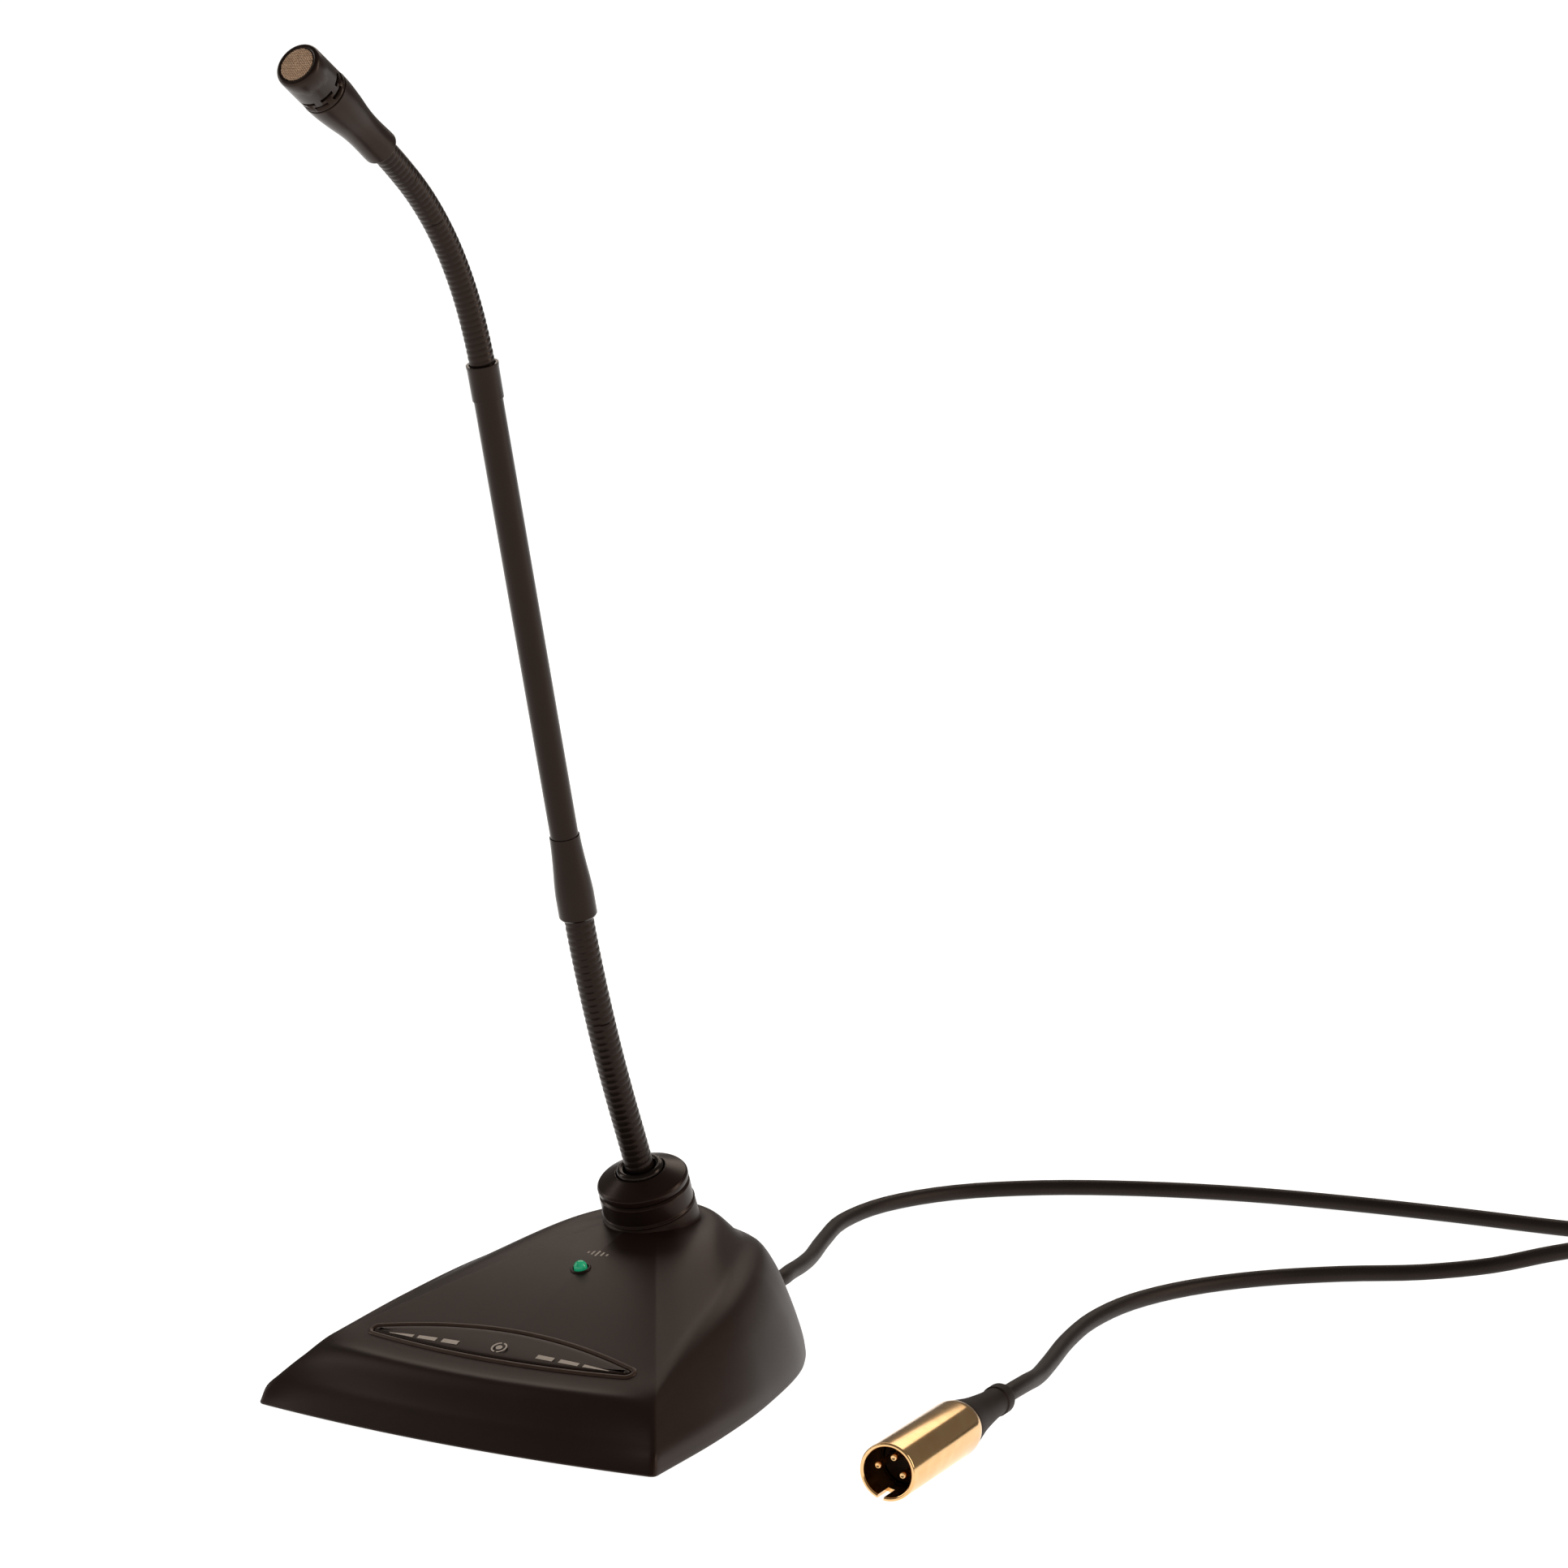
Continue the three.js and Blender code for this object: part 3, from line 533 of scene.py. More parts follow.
FEET = [(-56, 15), (56, 15), (-36, 128), (36, 128)]
FOOT_R = 7
FOOT_HEIGHT = 1.3
zinc = satin(
    "zinc_plate", tone(128, 130, 128), tone(176, 178, 174), 0.38,
    grain=0.8, depth=0.01, patch=5, Metallic=1.0,
)
screw_steel = satin(
    "screw_steel", tone(60, 58, 56), tone(96, 94, 90), 0.32, grain=0.3, depth=0.004, Metallic=1.0,
)
finish_nodes(zinc, "bottom_plate")
finish_nodes(screw_steel, *[f"plate_screw_{n}" for n in range(1, 5)])
for number, (x, y) in enumerate(FEET, 1):
    foot_profile = [(0, 0.15), (2.2, 0.15), (2.8, 0), (FOOT_R - 0.6, 0), (FOOT_R, 0.4), (FOOT_R, FOOT_HEIGHT)]
    foot = piece_of(f"foot_{number}_pad", turned([*foot_profile, (0, FOOT_HEIGHT)], 64),
                    Matrix.Translation((x, FRONT_Y + y, 0)), round_by=0.1)
    dress(foot, rubber, "base", "rubber_part", f"foot_{number}")


# ---- ballast ----
# A block of cast iron inside the cover keeps the base from tipping. Its casting skin is coarse and
# slightly rusted.
cast_iron = satin(
    "ballast_iron", tone(58, 52, 48), tone(104, 90, 78), 0.7,
    grain=0.9, depth=0.06, patch=6, Metallic=0.6,
)
finish_nodes(cast_iron, "ballast_weight")


# ---- circuit board and switches ----
# A green printed board screwed to the cover carries the mute switch, whose plunger the bar presses, and
# an option switch whose three sliders are reached from below.
def board_green():
    """Solder mask with lighter tracks under it in a grid of offset rows, and darker patches."""
    finish = Finish("board_green", Roughness=0.35)
    place = finish.node("ShaderNodeTexCoord", {}, {}, output=3)
    lines = finish.node("ShaderNodeTexBrick", {"offset": 0.37}, {
        "Vector": place, "Scale": 1 / (12 * MM), "Mortar Size": 0.02, "Color1": (1, 1, 1, 1),
        "Color2": (0.82, 0.82, 0.82, 1), "Mortar": (0, 0, 0, 1),
    }, output=1)
    mask = finish.between(lines, tone(24, 84, 54), tone(58, 128, 84))
    finish.set("Base Color", finish.between(finish.mottle(2.5) * 0.35, mask, tone(16, 60, 40)))
    finish.grain(lines, 0.03)
    return finish.material


switch_black = satin("switch_black", tone(24, 24, 26), tone(38, 38, 40), 0.5, depth=0.006)
slider_white = satin("slider_white", tone(206, 202, 192), tone(228, 226, 218), 0.45, depth=0.006)
finish_nodes(board_green(), "circuit_board")
finish_nodes(screw_steel, "board_screw_1", "board_screw_2", "socket_nut")
finish_nodes(switch_black, "mute_switch_body", "option_switch_body")
finish_nodes(slider_white, "switch_plunger", *[f"option_slider_{n}" for n in range(1, 4)])


# ---- base cover ----
# One die-cast shell in a warm brown-black satin paint. Each column of it runs from the desk outline up
# the wall, over a rounded edge and up the top to the neck socket's foot; it is open underneath.
BASE_HALF = 80
FRONT_BOW = 6
RIM_Z = 0.6
WALL = 2.6
FRONT_TOP_Z = 20.3
SOCKET_LEAN = math.radians(20.7)
SOCKET_CENTRE = (0, 113.8, 63)
SOCKET_R = 15.9
SOCKET_HEIGHT = 8.4
SEAT_HOLE_R = 11.8
SEAT_UNDERSIDE = SOCKET_HEIGHT + WALL + 0.6
SIDE_FOOT = [(80, 0, 0), (74.6, 47, 0), (65.8, 91, 0), (50, 138, 0), (30, 165, 0), (0, BASE_LENGTH, 0)]
SIDE_EDGE = [
    (66, 21.5, 21.2), (58, 54, 29.7), (50, 86, 36.2), (38, 114, 40.7), (23, 141, 42.3), (0, 156, 42.3),
]
SIDE_SEAT = [(-50, 1.2, 0), (-25, 3, 0), (0, 5.6, 0), (30, 8.6, 0), (60, 10.4, 0), (90, 11.2, 0)]
FRONT_WALL = [(0, 0.06), (0.3, 0.31), (0.45, 0.44), (0.58, 0.63), (0.69, 0.82), (0.82, 0.95), (1, 1)]
CORNER_WALL = [(0, 0.06), (0.09, 0.3), (0.26, 0.45), (0.46, 0.61), (0.65, 0.75), (0.83, 0.89), (1, 1)]
REAR_WALL = [(0, 0.03), (0.03, 0.13), (0.11, 0.28), (0.26, 0.5), (0.46, 0.74), (0.7, 0.92), (1, 1)]
COLUMNS_PER_SPAN = 20
FRONT_COLUMNS = 36
TOP_SWELL = 1.5
CORNER_STEPS = 6  # steps that round a front corner's crease, between the columns beside it
FRONT_EDGE_Y = 14.4  # the top edge's place at the middle of the front

unit_place = Matrix.Translation((0, FRONT_Y, 0))
socket_place = unit_place @ Matrix.Translation(SOCKET_CENTRE) @ Matrix.Rotation(SOCKET_LEAN, 4, "X")


def socket_point(radius, degrees, below):
    angle = math.radians(degrees)
    point = Vector((radius * math.cos(angle), radius * math.sin(angle), -below))
    return Matrix.Rotation(SOCKET_LEAN, 3, "X") @ point + Vector(SOCKET_CENTRE)


def mix(low, high, share):
    return low + (high - low) * share


def column_points(foot, edge, angle, drop, rear, corner):
    """One column's points: up the outside, through the seat's hole, and down the inside."""
    shares = (1 - rear - corner, corner, rear)
    inward = Vector((edge.x - foot.x, edge.y - foot.y, 0))
    depth = inward.length
    inward.normalize()

    def wall_point(k, shift=0.0, sink=0.0):
        profiles = (FRONT_WALL[k], CORNER_WALL[k], REAR_WALL[k])
        share, rise = (sum(part * profile[i] for part, profile in zip(shares, profiles)) for i in (0, 1))
        point = foot + inward * (share * depth + shift)
        point.z = rise * edge.z - sink
        return point

    seat_foot = socket_point(SOCKET_R + 0.7, angle, SOCKET_HEIGHT + drop)

    def top_point(share, sink=0.0):
        point = edge.lerp(seat_foot, share)
        point.z += TOP_SWELL * (1 + rear) * math.sin(math.pi * share**1.4) - sink
        return point

    rim = foot + inward * 0.4
    rim.z = RIM_Z
    rim_edge = foot + inward * 0.1
    rim_edge.z = RIM_Z + 0.25
    outside = [wall_point(k) for k in range(7)]
    outside += [top_point(share) for share in (0.12, 0.25, 0.38, 0.5, 0.62, 0.75, 0.88)]
    inside_foot = foot + inward * 4.5
    inside_foot.z = RIM_Z
    return [
        rim, rim_edge, *smooth_path([*outside, seat_foot], 4),
        socket_point(SOCKET_R + 0.35, angle, SOCKET_HEIGHT + 0.25),
        socket_point(SOCKET_R + 0.1, angle, SOCKET_HEIGHT), socket_point(SEAT_HOLE_R, angle, SOCKET_HEIGHT),
        socket_point(SEAT_HOLE_R, angle, SEAT_UNDERSIDE), socket_point(SOCKET_R - 1.3, angle, SEAT_UNDERSIDE),
        socket_point(SOCKET_R - 1.3, angle, SEAT_UNDERSIDE + 0.75 * drop), top_point(0.5, WALL + 0.4),
        wall_point(6, WALL, WALL), wall_point(4, WALL, WALL - 0.6), wall_point(1, WALL, 2), inside_foot,
    ]


def cover_columns():
    corner = Vector(SIDE_EDGE[0])
    front = []
    for i in range(FRONT_COLUMNS):
        t = i / FRONT_COLUMNS
        foot = Vector((BASE_HALF * t, -FRONT_BOW * (1 - t * t), 0))
        edge = Vector((corner.x * t, mix(FRONT_EDGE_Y, corner.y, t * t), mix(FRONT_TOP_Z, corner.z, t * t)))
        angle = mix(-90, SIDE_SEAT[0][0], t)
        front.append(column_points(foot, edge, angle, SIDE_SEAT[0][1] * (0.3 + 0.7 * t), 0, t**6))
    feet = smooth_path(SIDE_FOOT, COLUMNS_PER_SPAN)
    edges = smooth_path(SIDE_EDGE, COLUMNS_PER_SPAN)
    seats = smooth_path(SIDE_SEAT, COLUMNS_PER_SPAN)
    flank = []
    for i, (foot, edge, seat) in enumerate(zip(feet, edges, seats)):
        share = min(2 * i / (len(feet) - 1), 1)
        rear = share * share * (3 - 2 * share)
        flank.append(column_points(foot, edge, seat.x, seat.y, rear, 1 - rear))
    near = front[-1]
    far = flank[1]
    arc = []
    for step in range(1, CORNER_STEPS):
        t = step / CORNER_STEPS
        arc.append([
            n * (1 - t) ** 2 + c * 2 * t * (1 - t) + f * t * t for n, c, f in zip(near, flank[0], far)
        ])
    half = [*front, *arc, *flank[1:]]
    left = [[Vector((-p.x, p.y, p.z)) for p in line] for line in reversed(half[1:-1])]
    return [*half, *left]


def cover_mesh():
    columns = cover_columns()
    made = bmesh.new()
    grid = [[made.verts.new(p) for p in line] for line in columns]
    rings = len(grid[0])
    for i, line in enumerate(grid):
        beside = grid[(i + 1) % len(grid)]
        for k in range(rings):
            j = (k + 1) % rings
            made.faces.new((line[k], beside[k], beside[j], line[j]))
    return made


cover = piece_of("base_cover_shell", cover_mesh(), unit_place)
# The uncut outside, kept so that the bezel, the bar and the printed marks follow its swell.
skin = BVHTree.FromObject(cover, bpy.context.evaluated_depsgraph_get())

BAR_CENTRE = (0, 28, 24.5)
BAR_LEAN = math.radians(19.5)
BAR_HALF = 53.5
BAR_END_R = 3.2
BAR_CROWN = 10.6
BAR_BELLY = 7.6
BEZEL_WIDTH = 1.5
LED_PLACE = (0, 75.5, 41.2)
LED_LEAN = math.radians(17)
bar_place = unit_place @ Matrix.Translation(BAR_CENTRE) @ Matrix.Rotation(BAR_LEAN, 4, "X")
led_place = unit_place @ Matrix.Translation(LED_PLACE) @ Matrix.Rotation(LED_LEAN, 4, "X")


def bow_outline(grow, steps=40):
    """The bar's outline, grown or shrunk: round ends joined by a rear arch and a front bulge."""
    end = BAR_HALF - BAR_END_R
    radius = BAR_END_R + grow

    def arch(start, side, middle):
        for i in range(steps):
            t = i / steps
            yield (start * (1 - 2 * t), side * (1 - 2 * t * (1 - t)) + middle * 2 * t * (1 - t))

    def round_end(centre, start):
        for i in range(10):
            angle = start + math.pi * i / 10
            yield (centre + radius * math.cos(angle), radius * math.sin(angle))

    return [
        *round_end(end, -math.pi / 2), *arch(end, radius, 2 * (BAR_CROWN + grow) - radius),
        *round_end(-end, math.pi / 2), *arch(-end, -radius, radius - 2 * (BAR_BELLY + grow)),
    ]


def prism(outline, low, high):
    made = bmesh.new()
    bottom = [made.verts.new((x, y, low)) for x, y in outline]
    top = [made.verts.new((x, y, high)) for x, y in outline]
    made.faces.new(bottom[::-1])
    made.faces.new(top)
    for i in range(len(outline)):
        j = (i + 1) % len(outline)
        made.faces.new((bottom[i], bottom[j], top[j], top[i]))
    return made


cover_paint = satin(
    "cover_paint", tone(27, 16, 13), tone(38, 26, 21), 0.42, grain=0.3, depth=0.006, spread=0.05, patch=22,
)
bar_tool = piece_of("tool", prism(bow_outline(0.3), -9, 9), bar_place)
led_tool = piece_of("tool", turned([(0, -8), (3.2, -8), (3.2, 8), (0, 8)], 48), led_place)
gland_tool = piece_of("tool", turned([(0, -30), (4.9, -30), (4.9, 20), (0, 20)], 48), gland_place)
cut(cover, bar_tool, led_tool, gland_tool)
dress(cover, cover_paint, "base", "cover", "base_cover")


# ---- bezel and push bar ----
# A moulded frame with a rounded rim is pressed into the cover's opening. The bow-shaped bar inside it
# follows the cover's swell and works the mute switch through the plunger under it.
BAR_TOP = 0.45  # the bar's crown over the cover's outside


def over_skin(x, y, height):
    """A point of the bar's frame, set that high over the cover's outside."""
    start = bar_place @ Vector((x, y, 20))
    down = bar_place.to_3x3() @ Vector((0, 0, -1))
    hit, _, _, _ = skin.ray_cast(start * MM, down)
    return hit / MM - down * height


def fitted(rings, closed_top=False):
    """A solid whose rings of points are joined one after the other, the last to the first."""
    made = bmesh.new()
    lines = [[made.verts.new(p) for p in ring] for ring in rings]
    pairs = list(zip(lines, lines[1:]))
    if closed_top:
        made.faces.new(lines[0][::-1])
        made.faces.new(lines[-1])
    else:
        pairs.append((lines[-1], lines[0]))
    for low, high in pairs:
        count = len(low)
        for i in range(count):
            j = (i + 1) % count
            made.faces.new((low[i], low[j], high[j], high[i]))
    return made


def bow_ring(grow, height):
    return [over_skin(x, y, height) for x, y in bow_outline(grow)]


bezel = piece_of("push_bar_bezel_frame", fitted([
    bow_ring(0.1, -4), bow_ring(0.1, -0.2), bow_ring(0.4, 0.05), bow_ring(0.35, 0.2), bow_ring(0.1, 0.45),
    bow_ring(-0.3, 0.6), bow_ring(-0.8, 0.6), bow_ring(-1.2, 0.45), bow_ring(-BEZEL_WIDTH, 0.2),
    bow_ring(-BEZEL_WIDTH, -4),
]))
bezel.data.set_sharp_from_angle(angle=math.radians(50))
bar_black = satin("bar_black", tone(29, 19, 16), tone(39, 28, 24), 0.38, depth=0.005, spread=0.05)
# The bezel's paint is set much lighter than the cover's paint. This painted highlight stands in for the light
# that falls on the rim's rounded top.
bezel_painted_highlight = satin("bezel_painted_highlight", tone(60, 46, 39), tone(76, 60, 52), 0.34, depth=0.005, spread=0.05)
dress(bezel, bezel_painted_highlight, "base", "bar", "push_bar_bezel")

BAR_GROW = -BEZEL_WIDTH - 0.35
bar_steps = [(0, -2.4), (0, 0), (-0.12, 0.22), (-0.4, 0.36), (-1.2, 0.42), (-2.2, BAR_TOP)]
bar = piece_of("push_bar_cap", fitted([bow_ring(BAR_GROW + g, h) for g, h in bar_steps], closed_top=True))
bar.data.set_sharp_from_angle(angle=math.radians(60))
dress(bar, bar_black, "push_bar", "bar", "push_bar")


# ---- printed marks ----
# Pale warm-grey ink, pad-printed a few hundredths proud. Three dashes run out to each end of the bar,
# the outer one tapering, with a press mark in the middle. Five bars behind the light stand for sound.
INK = 0.04
DASH_Y = -1.4
PRESS_Y = -0.2
INK_SINK = 0.05  # how far the ink's underside is let into the surface
ink = satin("mark_ink", tone(196, 184, 172), tone(222, 212, 202), 0.55, grain=0.2, depth=0.003, patch=2)


def printed(name, outlines, surface, body):
    """Thin pads of ink, each from an outline in the bar's frame, laid on a surface height."""
    made = bmesh.new()
    for outline in outlines:
        low = [made.verts.new(over_skin(x, y, surface - INK_SINK)) for x, y in outline]
        high = [made.verts.new(over_skin(x, y, surface + INK)) for x, y in outline]
        made.faces.new(low[::-1])
        made.faces.new(high)
        for i in range(len(outline)):
            j = (i + 1) % len(outline)
            made.faces.new((low[i], low[j], high[j], high[i]))
    piece = piece_of(name, made)
    piece.data.set_sharp_from_angle(angle=math.radians(40))
    dress(piece, ink, body, "bar")


def dash(start, end, thick_start, thick_end):
    """A straight dash along the bar, as [x, y] corners."""
    steps = [mix(start, end, i / 6) for i in range(7)]
    halves = [mix(thick_start, thick_end, i / 6) / 2 for i in range(7)]
    lower = [(x, DASH_Y - half) for x, half in zip(steps, halves)]
    upper = [(x, DASH_Y + half) for x, half in zip(steps, halves)]
    return lower + upper[::-1]


def ring_outline(radius, count=40):
    angles = [2 * math.pi * i / count for i in range(count)]
    return [(radius * math.cos(a), PRESS_Y + radius * math.sin(a)) for a in angles]


def arc_outline(inner, outer, first, last, count=18):
    angles = [math.radians(mix(first, last, i / count)) for i in range(count + 1)]
    out = [(outer * math.cos(a), PRESS_Y + outer * math.sin(a)) for a in angles]
    back_in = [(inner * math.cos(a), PRESS_Y + inner * math.sin(a)) for a in reversed(angles)]
    return out + back_in


# Each dash's start and end from the bar's middle, and its thickness there.
DASHES = [(16, 22.5, 2.1, 2.0), (25, 32.5, 1.9, 1.65), (34.5, 44.5, 1.5, 0.15)]
dashes = []
for side in (-1, 1):
    for start, end, thick_start, thick_end in DASHES:
        dashes.append(dash(side * start, side * end, thick_start, thick_end))
printed("bar_dashes", dashes, BAR_TOP, "push_bar")
press_mark = [ring_outline(1.15), arc_outline(2.2, 2.8, 100, 260), arc_outline(2.2, 2.8, -80, 80)]
printed("bar_press_mark", press_mark, BAR_TOP, "push_bar")

LEVEL_HEIGHTS = [1.2, 2.4, 3.6, 2.4, 1.2]
LEVEL_Y = 61
LEVEL_SPACING = 1.9
LEVEL_HALF_WIDTH = 0.35
level_bars = []
for number, height in enumerate(LEVEL_HEIGHTS):
    x = (number - (len(LEVEL_HEIGHTS) - 1) / 2) * LEVEL_SPACING
    corners = ((-1, -1), (1, -1), (1, 1), (-1, 1))
    level_bars.append([(x + a * LEVEL_HALF_WIDTH, LEVEL_Y + b * height / 2) for a, b in corners])
printed("level_mark", level_bars, 0, "base")


# ---- status light ----
# A green diffused LED stands through a turned black holder that snaps into the cover.
led_holder = piece_of("led_holder_ring", turned([
    (2.65, -2.6), (2.9, -2.6), (2.9, 0.5), (3.6, 0.5), (3.6, 0.75), (3.4, 1.0), (2.9, 1.05), (2.65, 0.9),
], 64), led_place, round_by=0.12)
dress(led_holder, bar_black, "base", "bar", "led_holder")

led_green = Finish("led_green", Roughness=0.12, Emission_Strength=0.35)
led_clouds = led_green.mottle(1.6)
led_green.set("Base Color", led_green.between(led_clouds, tone(10, 120, 78), tone(60, 200, 150)))
led_green.set("Emission Color", led_green.between(led_clouds, tone(5, 110, 70), tone(40, 190, 135)))
led = piece_of("status_led_dome", turned([
    (0, -5), (2.3, -5), *rounded([(2.3, 1), (2.22, 1.8), (1.9, 2.5), (1.3, 3.1), (0.6, 3.35)]), (0, 3.4),
], 48), led_place)
led.data.set_sharp_from_angle(angle=math.radians(50))
dress(led, led_green.material, "base", "light", "status_led")


# ---- neck socket, lock ring and grommet ----
# A turned aluminium collar, painted like the cover, is drawn into the cover's seat by a nut inside.
# A conical ring screws down on it over the gooseneck's foot, and a rubber grommet closes the gap.
LOWER_HOSE_R = 5
HOSE_CLEAR = LOWER_HOSE_R + 0.7
socket_paint = satin(
    "socket_paint", tone(25, 15, 13), tone(35, 24, 20), 0.3, grain=0.3, depth=0.004, spread=0.05, patch=14,
)
socket = piece_of("neck_socket_collar", turned([
    (9, -18), (11.3, -18), (11.3, -8.1), (SOCKET_R + 0.45, -8.1), (SOCKET_R + 0.45, -7.7), (SOCKET_R, -7.1),
    (SOCKET_R, -0.9), (SOCKET_R - 0.8, -0.1), (13.6, -0.1), (13.6, -2), (9, -2),
], 128), socket_place, round_by=0.22)
dress(socket, socket_paint, "base", "socket", "neck_socket")
lock_ring = piece_of("lock_ring_cone", turned([
    (8.6, -1.6), (13.2, -1.6), (13.2, 0.35), (SOCKET_R - 0.3, 0.35), (SOCKET_R, 1.0), (SOCKET_R, 2.5),
    (SOCKET_R - 0.6, 3.3), (9.1, 6.5), (8.6, 6.5),
], 128), socket_place, round_by=0.4)
dress(lock_ring, socket_paint, "base", "socket", "lock_ring")
gloss_rubber = satin(
    "grommet_rubber", tone(14, 11, 10), tone(26, 21, 19), 0.22, grain=0.4, depth=0.003, spread=0.04,
)
grommet = piece_of("neck_grommet_lip", turned([
    (HOSE_CLEAR, -3), (8.2, -3), *rounded([(8.2, 6.7), (8.0, 7.4), (7.4, 7.95), (6.7, 8.05), (6.05, 7.75)]),
    (HOSE_CLEAR, 7.2),
], 96), socket_place)
grommet.data.set_sharp_from_angle(angle=math.radians(50))
dress(grommet, gloss_rubber, "base", "rubber_part", "neck_grommet")


# ---- hoses ----
# Each gooseneck is a steel spring wound over a fixed wire, in a black shrunk sleeve that shows its
# turns. It is made in stretches, each of which bends over one of the hose's hinges.
UPPER_HOSE_R = 4.2
ROOT_BEND = 8  # how far below its first hinge a hose starts to bend
TIP_BEND = 6  # and how far above its last hinge the bend ends
LOWER_REACH = (18, 15)  # how far a hose runs on past its first and its last hinge
UPPER_REACH = (10, 12)
ROOT_LEAN = math.radians(23)
STEM_LEAN = math.radians(15.5)
HEAD_LEAN = math.radians(57.5)
joints = {joint["name"]: joint for joint in frame["joints"]}


def leaning(angle):
    return Vector((0, -math.sin(angle), math.cos(angle)))


def hinge_points(hose):
    names = [f"{hose}_{kind}" for kind in ("nod_1", "sway_1", "nod_2", "sway_2", "nod_3")]
    return [Vector(joints[name]["pos_m"]) / MM for name in names]


def hose_line(hinges, root, tip, root_length, tip_length):
    """The hose's centre line, which bends evenly past each hinge, and the steps where a bend ends."""
    per_bend = 96
    middles = [(a + b) / 2 for a, b in zip(hinges, hinges[1:])]
    ends = [hinges[0] - root * ROOT_BEND, *middles, hinges[-1] + tip * TIP_BEND]
    line = [hinges[0] - root * root_length]
    breaks = [0]
    for before, hinge, after in zip(ends, hinges, ends[1:]):
        for step in range(per_bend):
            t = step / per_bend
            line.append(before * (1 - t) ** 2 + hinge * 2 * t * (1 - t) + after * t * t)
        breaks.append(len(line))
    line += [ends[-1], hinges[-1] + tip * tip_length]
    breaks[-1] = len(line) - 1
    return line, breaks


def wound_stretch(line, radius, pitch, depth):
    """A stretch of hose: rings across its centre line, whose radius follows the winding's crests."""
    made = bmesh.new()
    around = 36
    rings = []
    for index, (centre, length) in enumerate(line):
        before = line[max(index - 1, 0)][0]
        after = line[min(index + 1, len(line) - 1)][0]
        along = (after - before).normalized()
        side = Vector((1, 0, 0))
        front = along.cross(side)
        ring = []
        for spoke in range(around):
            angle = 2 * math.pi * spoke / around
            phase = math.pi * (length / pitch - spoke / around)
            swell = radius - depth * (1 - abs(math.sin(phase))) ** 1.6
            ring.append(made.verts.new(centre + (side * math.cos(angle) + front * math.sin(angle)) * swell))
        rings.append(ring)
    made.faces.new(rings[0][::-1])
    made.faces.new(rings[-1])
    for low, high in zip(rings, rings[1:]):
        for i in range(around):
            j = (i + 1) % around
            made.faces.new((low[i], low[j], high[j], high[i]))
    return made


def hose(name, bodies, hinges, root, tip, lengths, radius, pitch, depth, step):
    line, breaks = hose_line(hinges, root, tip, *lengths)
    reach = [0]
    for before, after in zip(line, line[1:]):
        reach.append(reach[-1] + (after - before).length)
    for number, (first, last) in enumerate(zip(breaks, breaks[1:])):
        count = max(round((reach[last] - reach[first]) / step), 2)
        stretch = []
        index = first
        for i in range(count + 1):
            length = mix(reach[first], reach[last], i / count)
            while index < last - 1 and reach[index + 1] < length:
                index += 1
            share = (length - reach[index]) / (reach[index + 1] - reach[index])
            stretch.append((line[index].lerp(line[index + 1], share), length))
        piece = piece_of(f"{name}_stretch_{number + 1}", wound_stretch(stretch, radius, pitch, depth))
        piece.data.set_sharp_from_angle(angle=math.radians(80))
        piece.data.materials.append(hose_black)
        hinge = hinges[number]
        along = (stretch[-1][0] - stretch[0][0]).normalized()
        before = ROOT_BEND if number == 0 else (hinge - stretch[0][0]).length
        after = TIP_BEND if number == len(hinges) - 1 else (stretch[-1][0] - hinge).length
        bodies[number + 1]
        (hinge - along * before) * MM
        (hinge + along * after) * MM
        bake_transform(piece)
        nodes = [f"{name}_{number + 1}"]
        if number == len(hinges) - 1:
            nodes.append(f"{name}_{number + 2}")
        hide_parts(*nodes)


hose_black = satin("hose_black", tone(17, 11, 9), tone(29, 21, 18), 0.34, grain=0.5, depth=0.01, spread=0.06)
lower_hinges = hinge_points("lower_hose")
upper_hinges = hinge_points("upper_hose")
lower_links = [f"lower_link_{n}" for n in range(1, 5)]
upper_links = [f"upper_link_{n}" for n in range(1, 5)]
hose("lower_hose", ["base", *lower_links, "stem"], lower_hinges, leaning(ROOT_LEAN), leaning(STEM_LEAN),
     LOWER_REACH, LOWER_HOSE_R, pitch=2.5, depth=0.26, step=0.42)
hose("upper_hose", ["stem", *upper_links, "head"], upper_hinges, leaning(STEM_LEAN), leaning(HEAD_LEAN),
     UPPER_REACH, UPPER_HOSE_R, pitch=2.1, depth=0.22, step=0.35)


# ---- rigid tube ----
# A straight drawn tube joins the two hoses. A flared coupler is swaged on its foot and a thin sleeve
# on its top, both anodised like the tube; the microphone's lead runs up inside it.
COUPLER_LENGTH = 30
TUBE_LENGTH = 160
TUBE_TOP = COUPLER_LENGTH + TUBE_LENGTH
TUBE_R = 4.75
TUBE_BORE_R = 3.7
TUBE_FOOT = 11
COUPLER_START = 8  # past the lower hose's last hinge
coupler_foot = lower_hinges[-1] + leaning(STEM_LEAN) * COUPLER_START
stem_place = Matrix.Translation(coupler_foot) @ Matrix.Rotation(STEM_LEAN, 4, "X")
tube_black = satin(
    "tube_black", tone(19, 13, 11), tone(29, 21, 18), 0.24, grain=0.3, depth=0.003, spread=0.04, patch=18,
)
coupler = piece_of("tube_coupler_flare", turned([
    (LOWER_HOSE_R + 0.3, 0.3), (5.9, 0.3), (6.5, 1.1),
    *rounded([(6.5, 9), (6.25, 13), (5.65, 20), (5.25, 26), (5.1, COUPLER_LENGTH)]),
    (TUBE_R + 0.15, COUPLER_LENGTH), (TUBE_R + 0.15, TUBE_FOOT - 0.8), (LOWER_HOSE_R + 0.3, TUBE_FOOT - 0.8),
], 96), stem_place, round_by=0.15)
dress(coupler, tube_black, "stem", "tube", "tube_coupler")
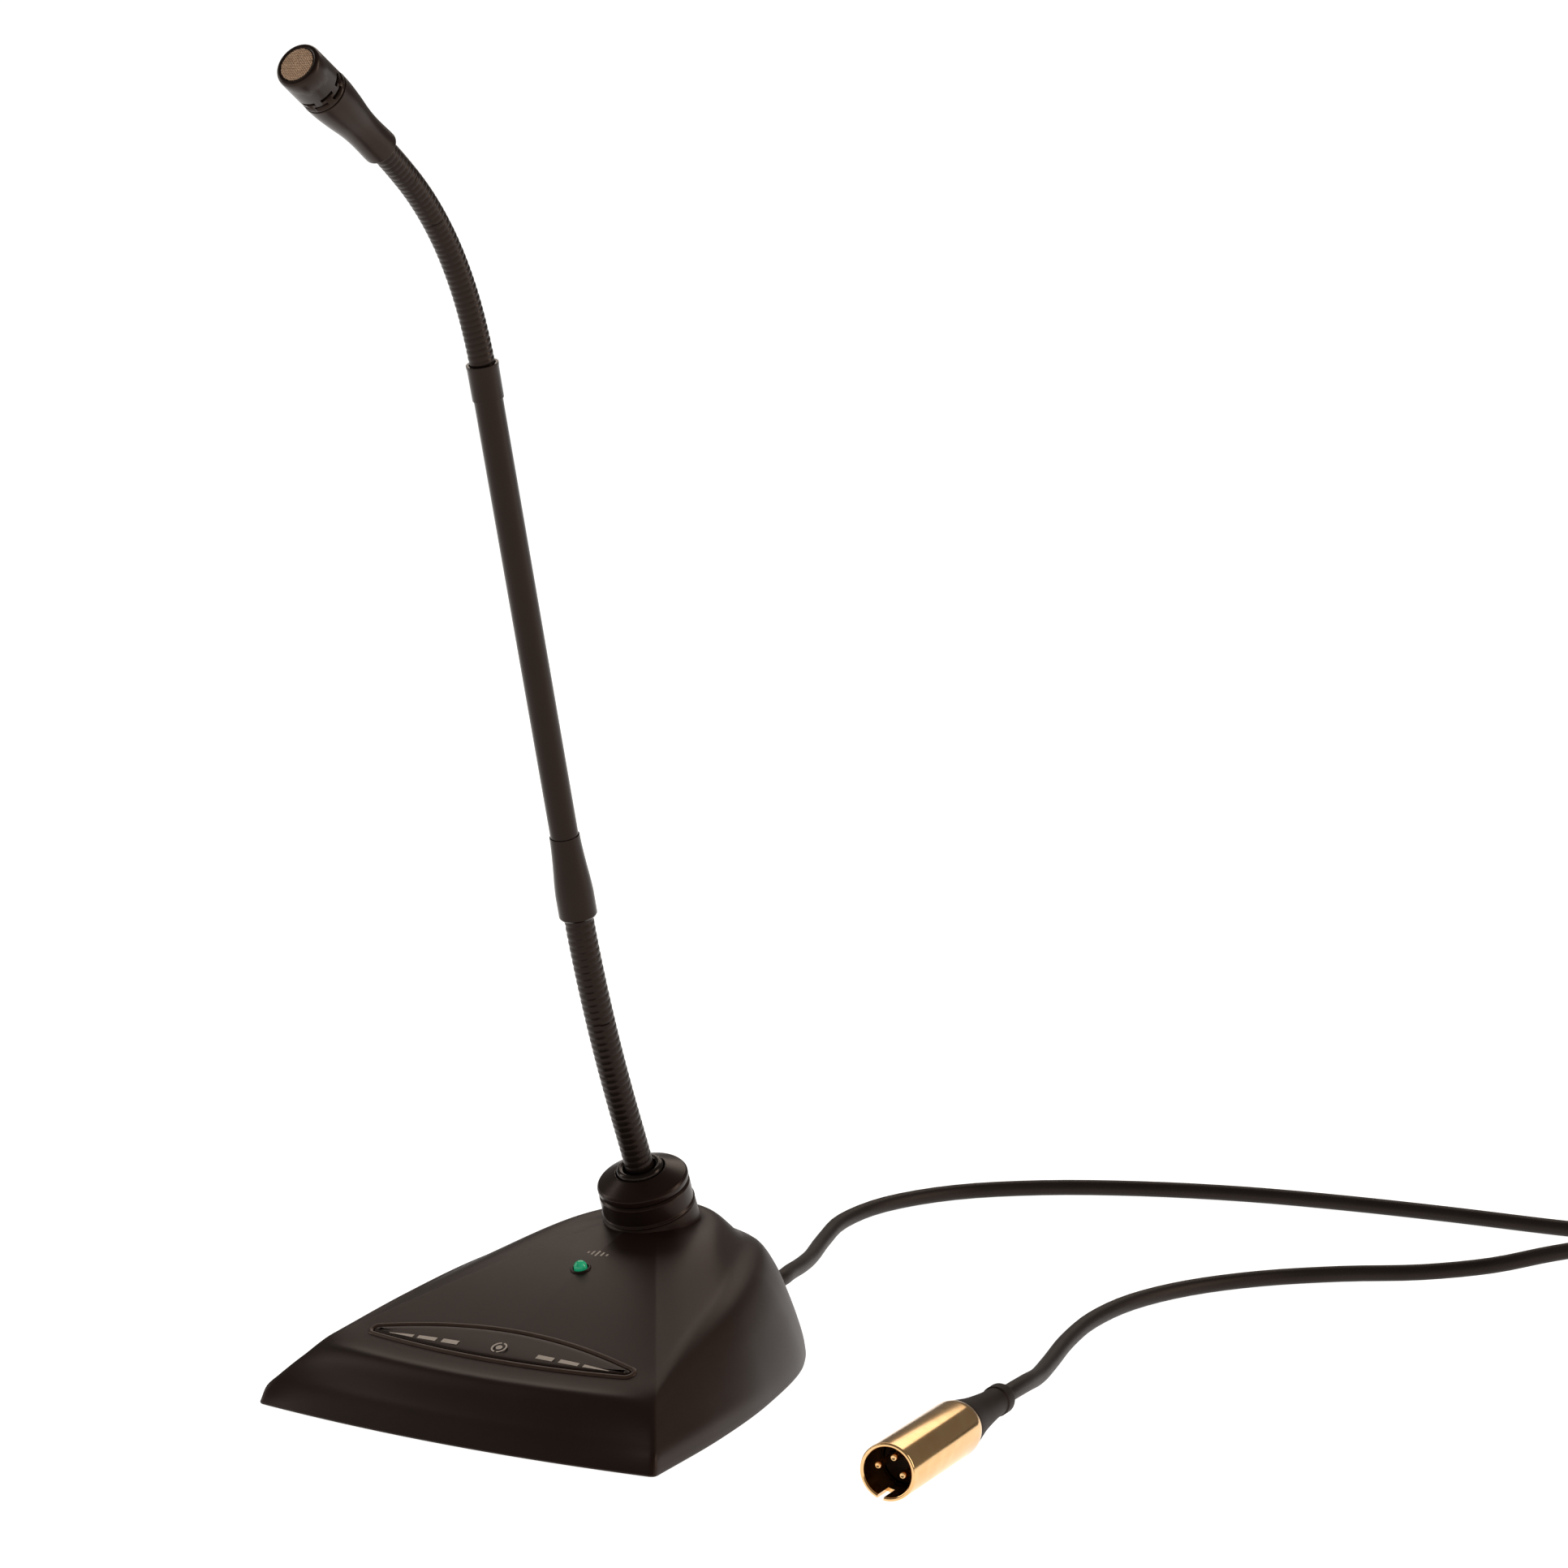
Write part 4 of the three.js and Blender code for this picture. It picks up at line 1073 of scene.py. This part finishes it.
tube = piece_of("stem_tube_drawn", turned([
    (TUBE_BORE_R, TUBE_FOOT), (TUBE_R, TUBE_FOOT), (TUBE_R, TUBE_TOP), (TUBE_BORE_R, TUBE_TOP),
], 96), stem_place, round_by=0.15)
dress(tube, tube_black, "stem", "tube", "stem_tube")
sleeve = piece_of("tube_sleeve_rim", turned([
    (TUBE_R + 0.15, TUBE_TOP - 6), (5.15, TUBE_TOP - 6), (5.22, TUBE_TOP + 4.6), (5.35, TUBE_TOP + 5.2),
    (5.35, TUBE_TOP + 6), (UPPER_HOSE_R + 0.2, TUBE_TOP + 6), (UPPER_HOSE_R + 0.2, TUBE_TOP + 0.3),
    (TUBE_R + 0.15, TUBE_TOP + 0.3),
], 96), stem_place, round_by=0.12)
dress(sleeve, tube_black, "stem", "tube", "tube_sleeve")
finish_nodes(satin("lead_jacket", tone(24, 20, 19), tone(40, 34, 32), 0.55), "microphone_lead")


# ---- head ----
# The condenser head: a turned body that swells from the hose to the cartridge, a screwed-on cartridge
# housing with vent slots, the capsule in it, and a disc of woven mesh behind the front rim.
HEAD_R = 7.7
HEAD_LENGTH = 50
BODY_TOP = 34
HEAD_START = 6  # past the upper hose's last hinge
SLOTS_PER_ROW = 7
SLOT_ROWS = (36.4, 38.6)
head_foot = upper_hinges[-1] + leaning(HEAD_LEAN) * HEAD_START
head_place = Matrix.Translation(head_foot) @ Matrix.Rotation(HEAD_LEAN, 4, "X")
head_black = satin(
    "head_black", tone(23, 15, 12), tone(36, 26, 21), 0.3, grain=0.3, depth=0.004, spread=0.05, patch=8,
)
head_body = piece_of("head_body_turned", turned([
    (UPPER_HOSE_R + 0.3, 0.3), (5.3, 0.3), (5.8, 0.9),
    *rounded([(5.8, 3), (5.7, 7), (5.7, 11), (6, 16), (6.9, 23), (7.5, 29), (HEAD_R, BODY_TOP - 0.2)]),
    (HEAD_R - 0.2, BODY_TOP), (5.6, BODY_TOP), (5.6, 22), (4.3, 16), (4.3, 8), (UPPER_HOSE_R + 0.3, 8),
], 96), head_place, round_by=0.12)
dress(head_body, head_black, "head", "head", "head_body")

RIM_R = HEAD_R - 0.15
housing = piece_of("cartridge_housing_turned", turned([
    (5, 24), (5.3, 24), (5.3, BODY_TOP + 0.3), (RIM_R, BODY_TOP + 0.3),
    *rounded([(RIM_R, 48.3), (RIM_R - 0.12, 49.1), (RIM_R - 0.5, 49.75), (RIM_R - 1, HEAD_LENGTH)]),
    *rounded([(6.3, HEAD_LENGTH), (5.9, 49.8), (5.7, 49.4)]), (5.7, 49), (5, 49),
], 128), head_place, round_by=0.12)
settle(housing)
slots = []
for row, height in enumerate(SLOT_ROWS):
    for turn in range(SLOTS_PER_ROW):
        around = head_place @ Matrix.Rotation(2 * math.pi * (turn + 0.5 * row) / SLOTS_PER_ROW, 4, "Z")
        slots.append(box_tool((4.6, 3.2, 1.1), around @ Matrix.Translation((0, 7.6, height))))
cut(housing, *slots)
dress(housing, head_black, "head", "head", "cartridge_housing")


capsule_steel = satin(
    "capsule_steel", tone(140, 138, 134), tone(186, 184, 178), 0.3, grain=0.3, depth=0.004, Metallic=1.0,
)
finish_nodes(capsule_steel, "capsule")


def woven_disc():
    """Two layers of wires, over and under each other, across the front opening."""
    made = bmesh.new()
    reach = 5.55
    pitch = 0.42
    wire = 0.13
    wave_height = 0.09
    disc_height = 49.75
    count = int(reach / pitch)
    for turn in range(2):
        for line in range(-count, count + 1):
            offset = line * pitch
            half = math.sqrt(max(reach**2 - offset**2, 0.04))
            steps = max(round(2 * half / (pitch / 2)), 2)
            rings = []
            for step in range(steps + 1):
                along = -half + 2 * half * step / steps
                wave = wave_height * math.cos(math.pi * along / pitch + math.pi * (line + turn))
                ring = []
                for corner in range(4):
                    angle = math.pi / 2 * (corner + 0.5)
                    across = offset + wire * math.cos(angle)
                    place = Vector((along, across, disc_height + wave + wire * math.sin(angle)))
                    if turn:
                        place.x, place.y = -place.y, place.x
                    ring.append(made.verts.new(place))
                rings.append(ring)
            made.faces.new(rings[0][::-1])
            made.faces.new(rings[-1])
            for low, high in zip(rings, rings[1:]):
                for i in range(4):
                    j = (i + 1) % 4
                    made.faces.new((low[i], low[j], high[j], high[i]))
    return made


mesh_brass = Finish("grille_wire", Metallic=0.7, Roughness=0.38)
wire_tone = mesh_brass.between(mesh_brass.mottle(1.5), tone(196, 160, 130), tone(240, 208, 176))
mesh_brass.set("Base Color", wire_tone)
grille = piece_of("front_grille_mesh", woven_disc(), head_place)
dress(grille, mesh_brass.material, "head", "grille", "front_grille")
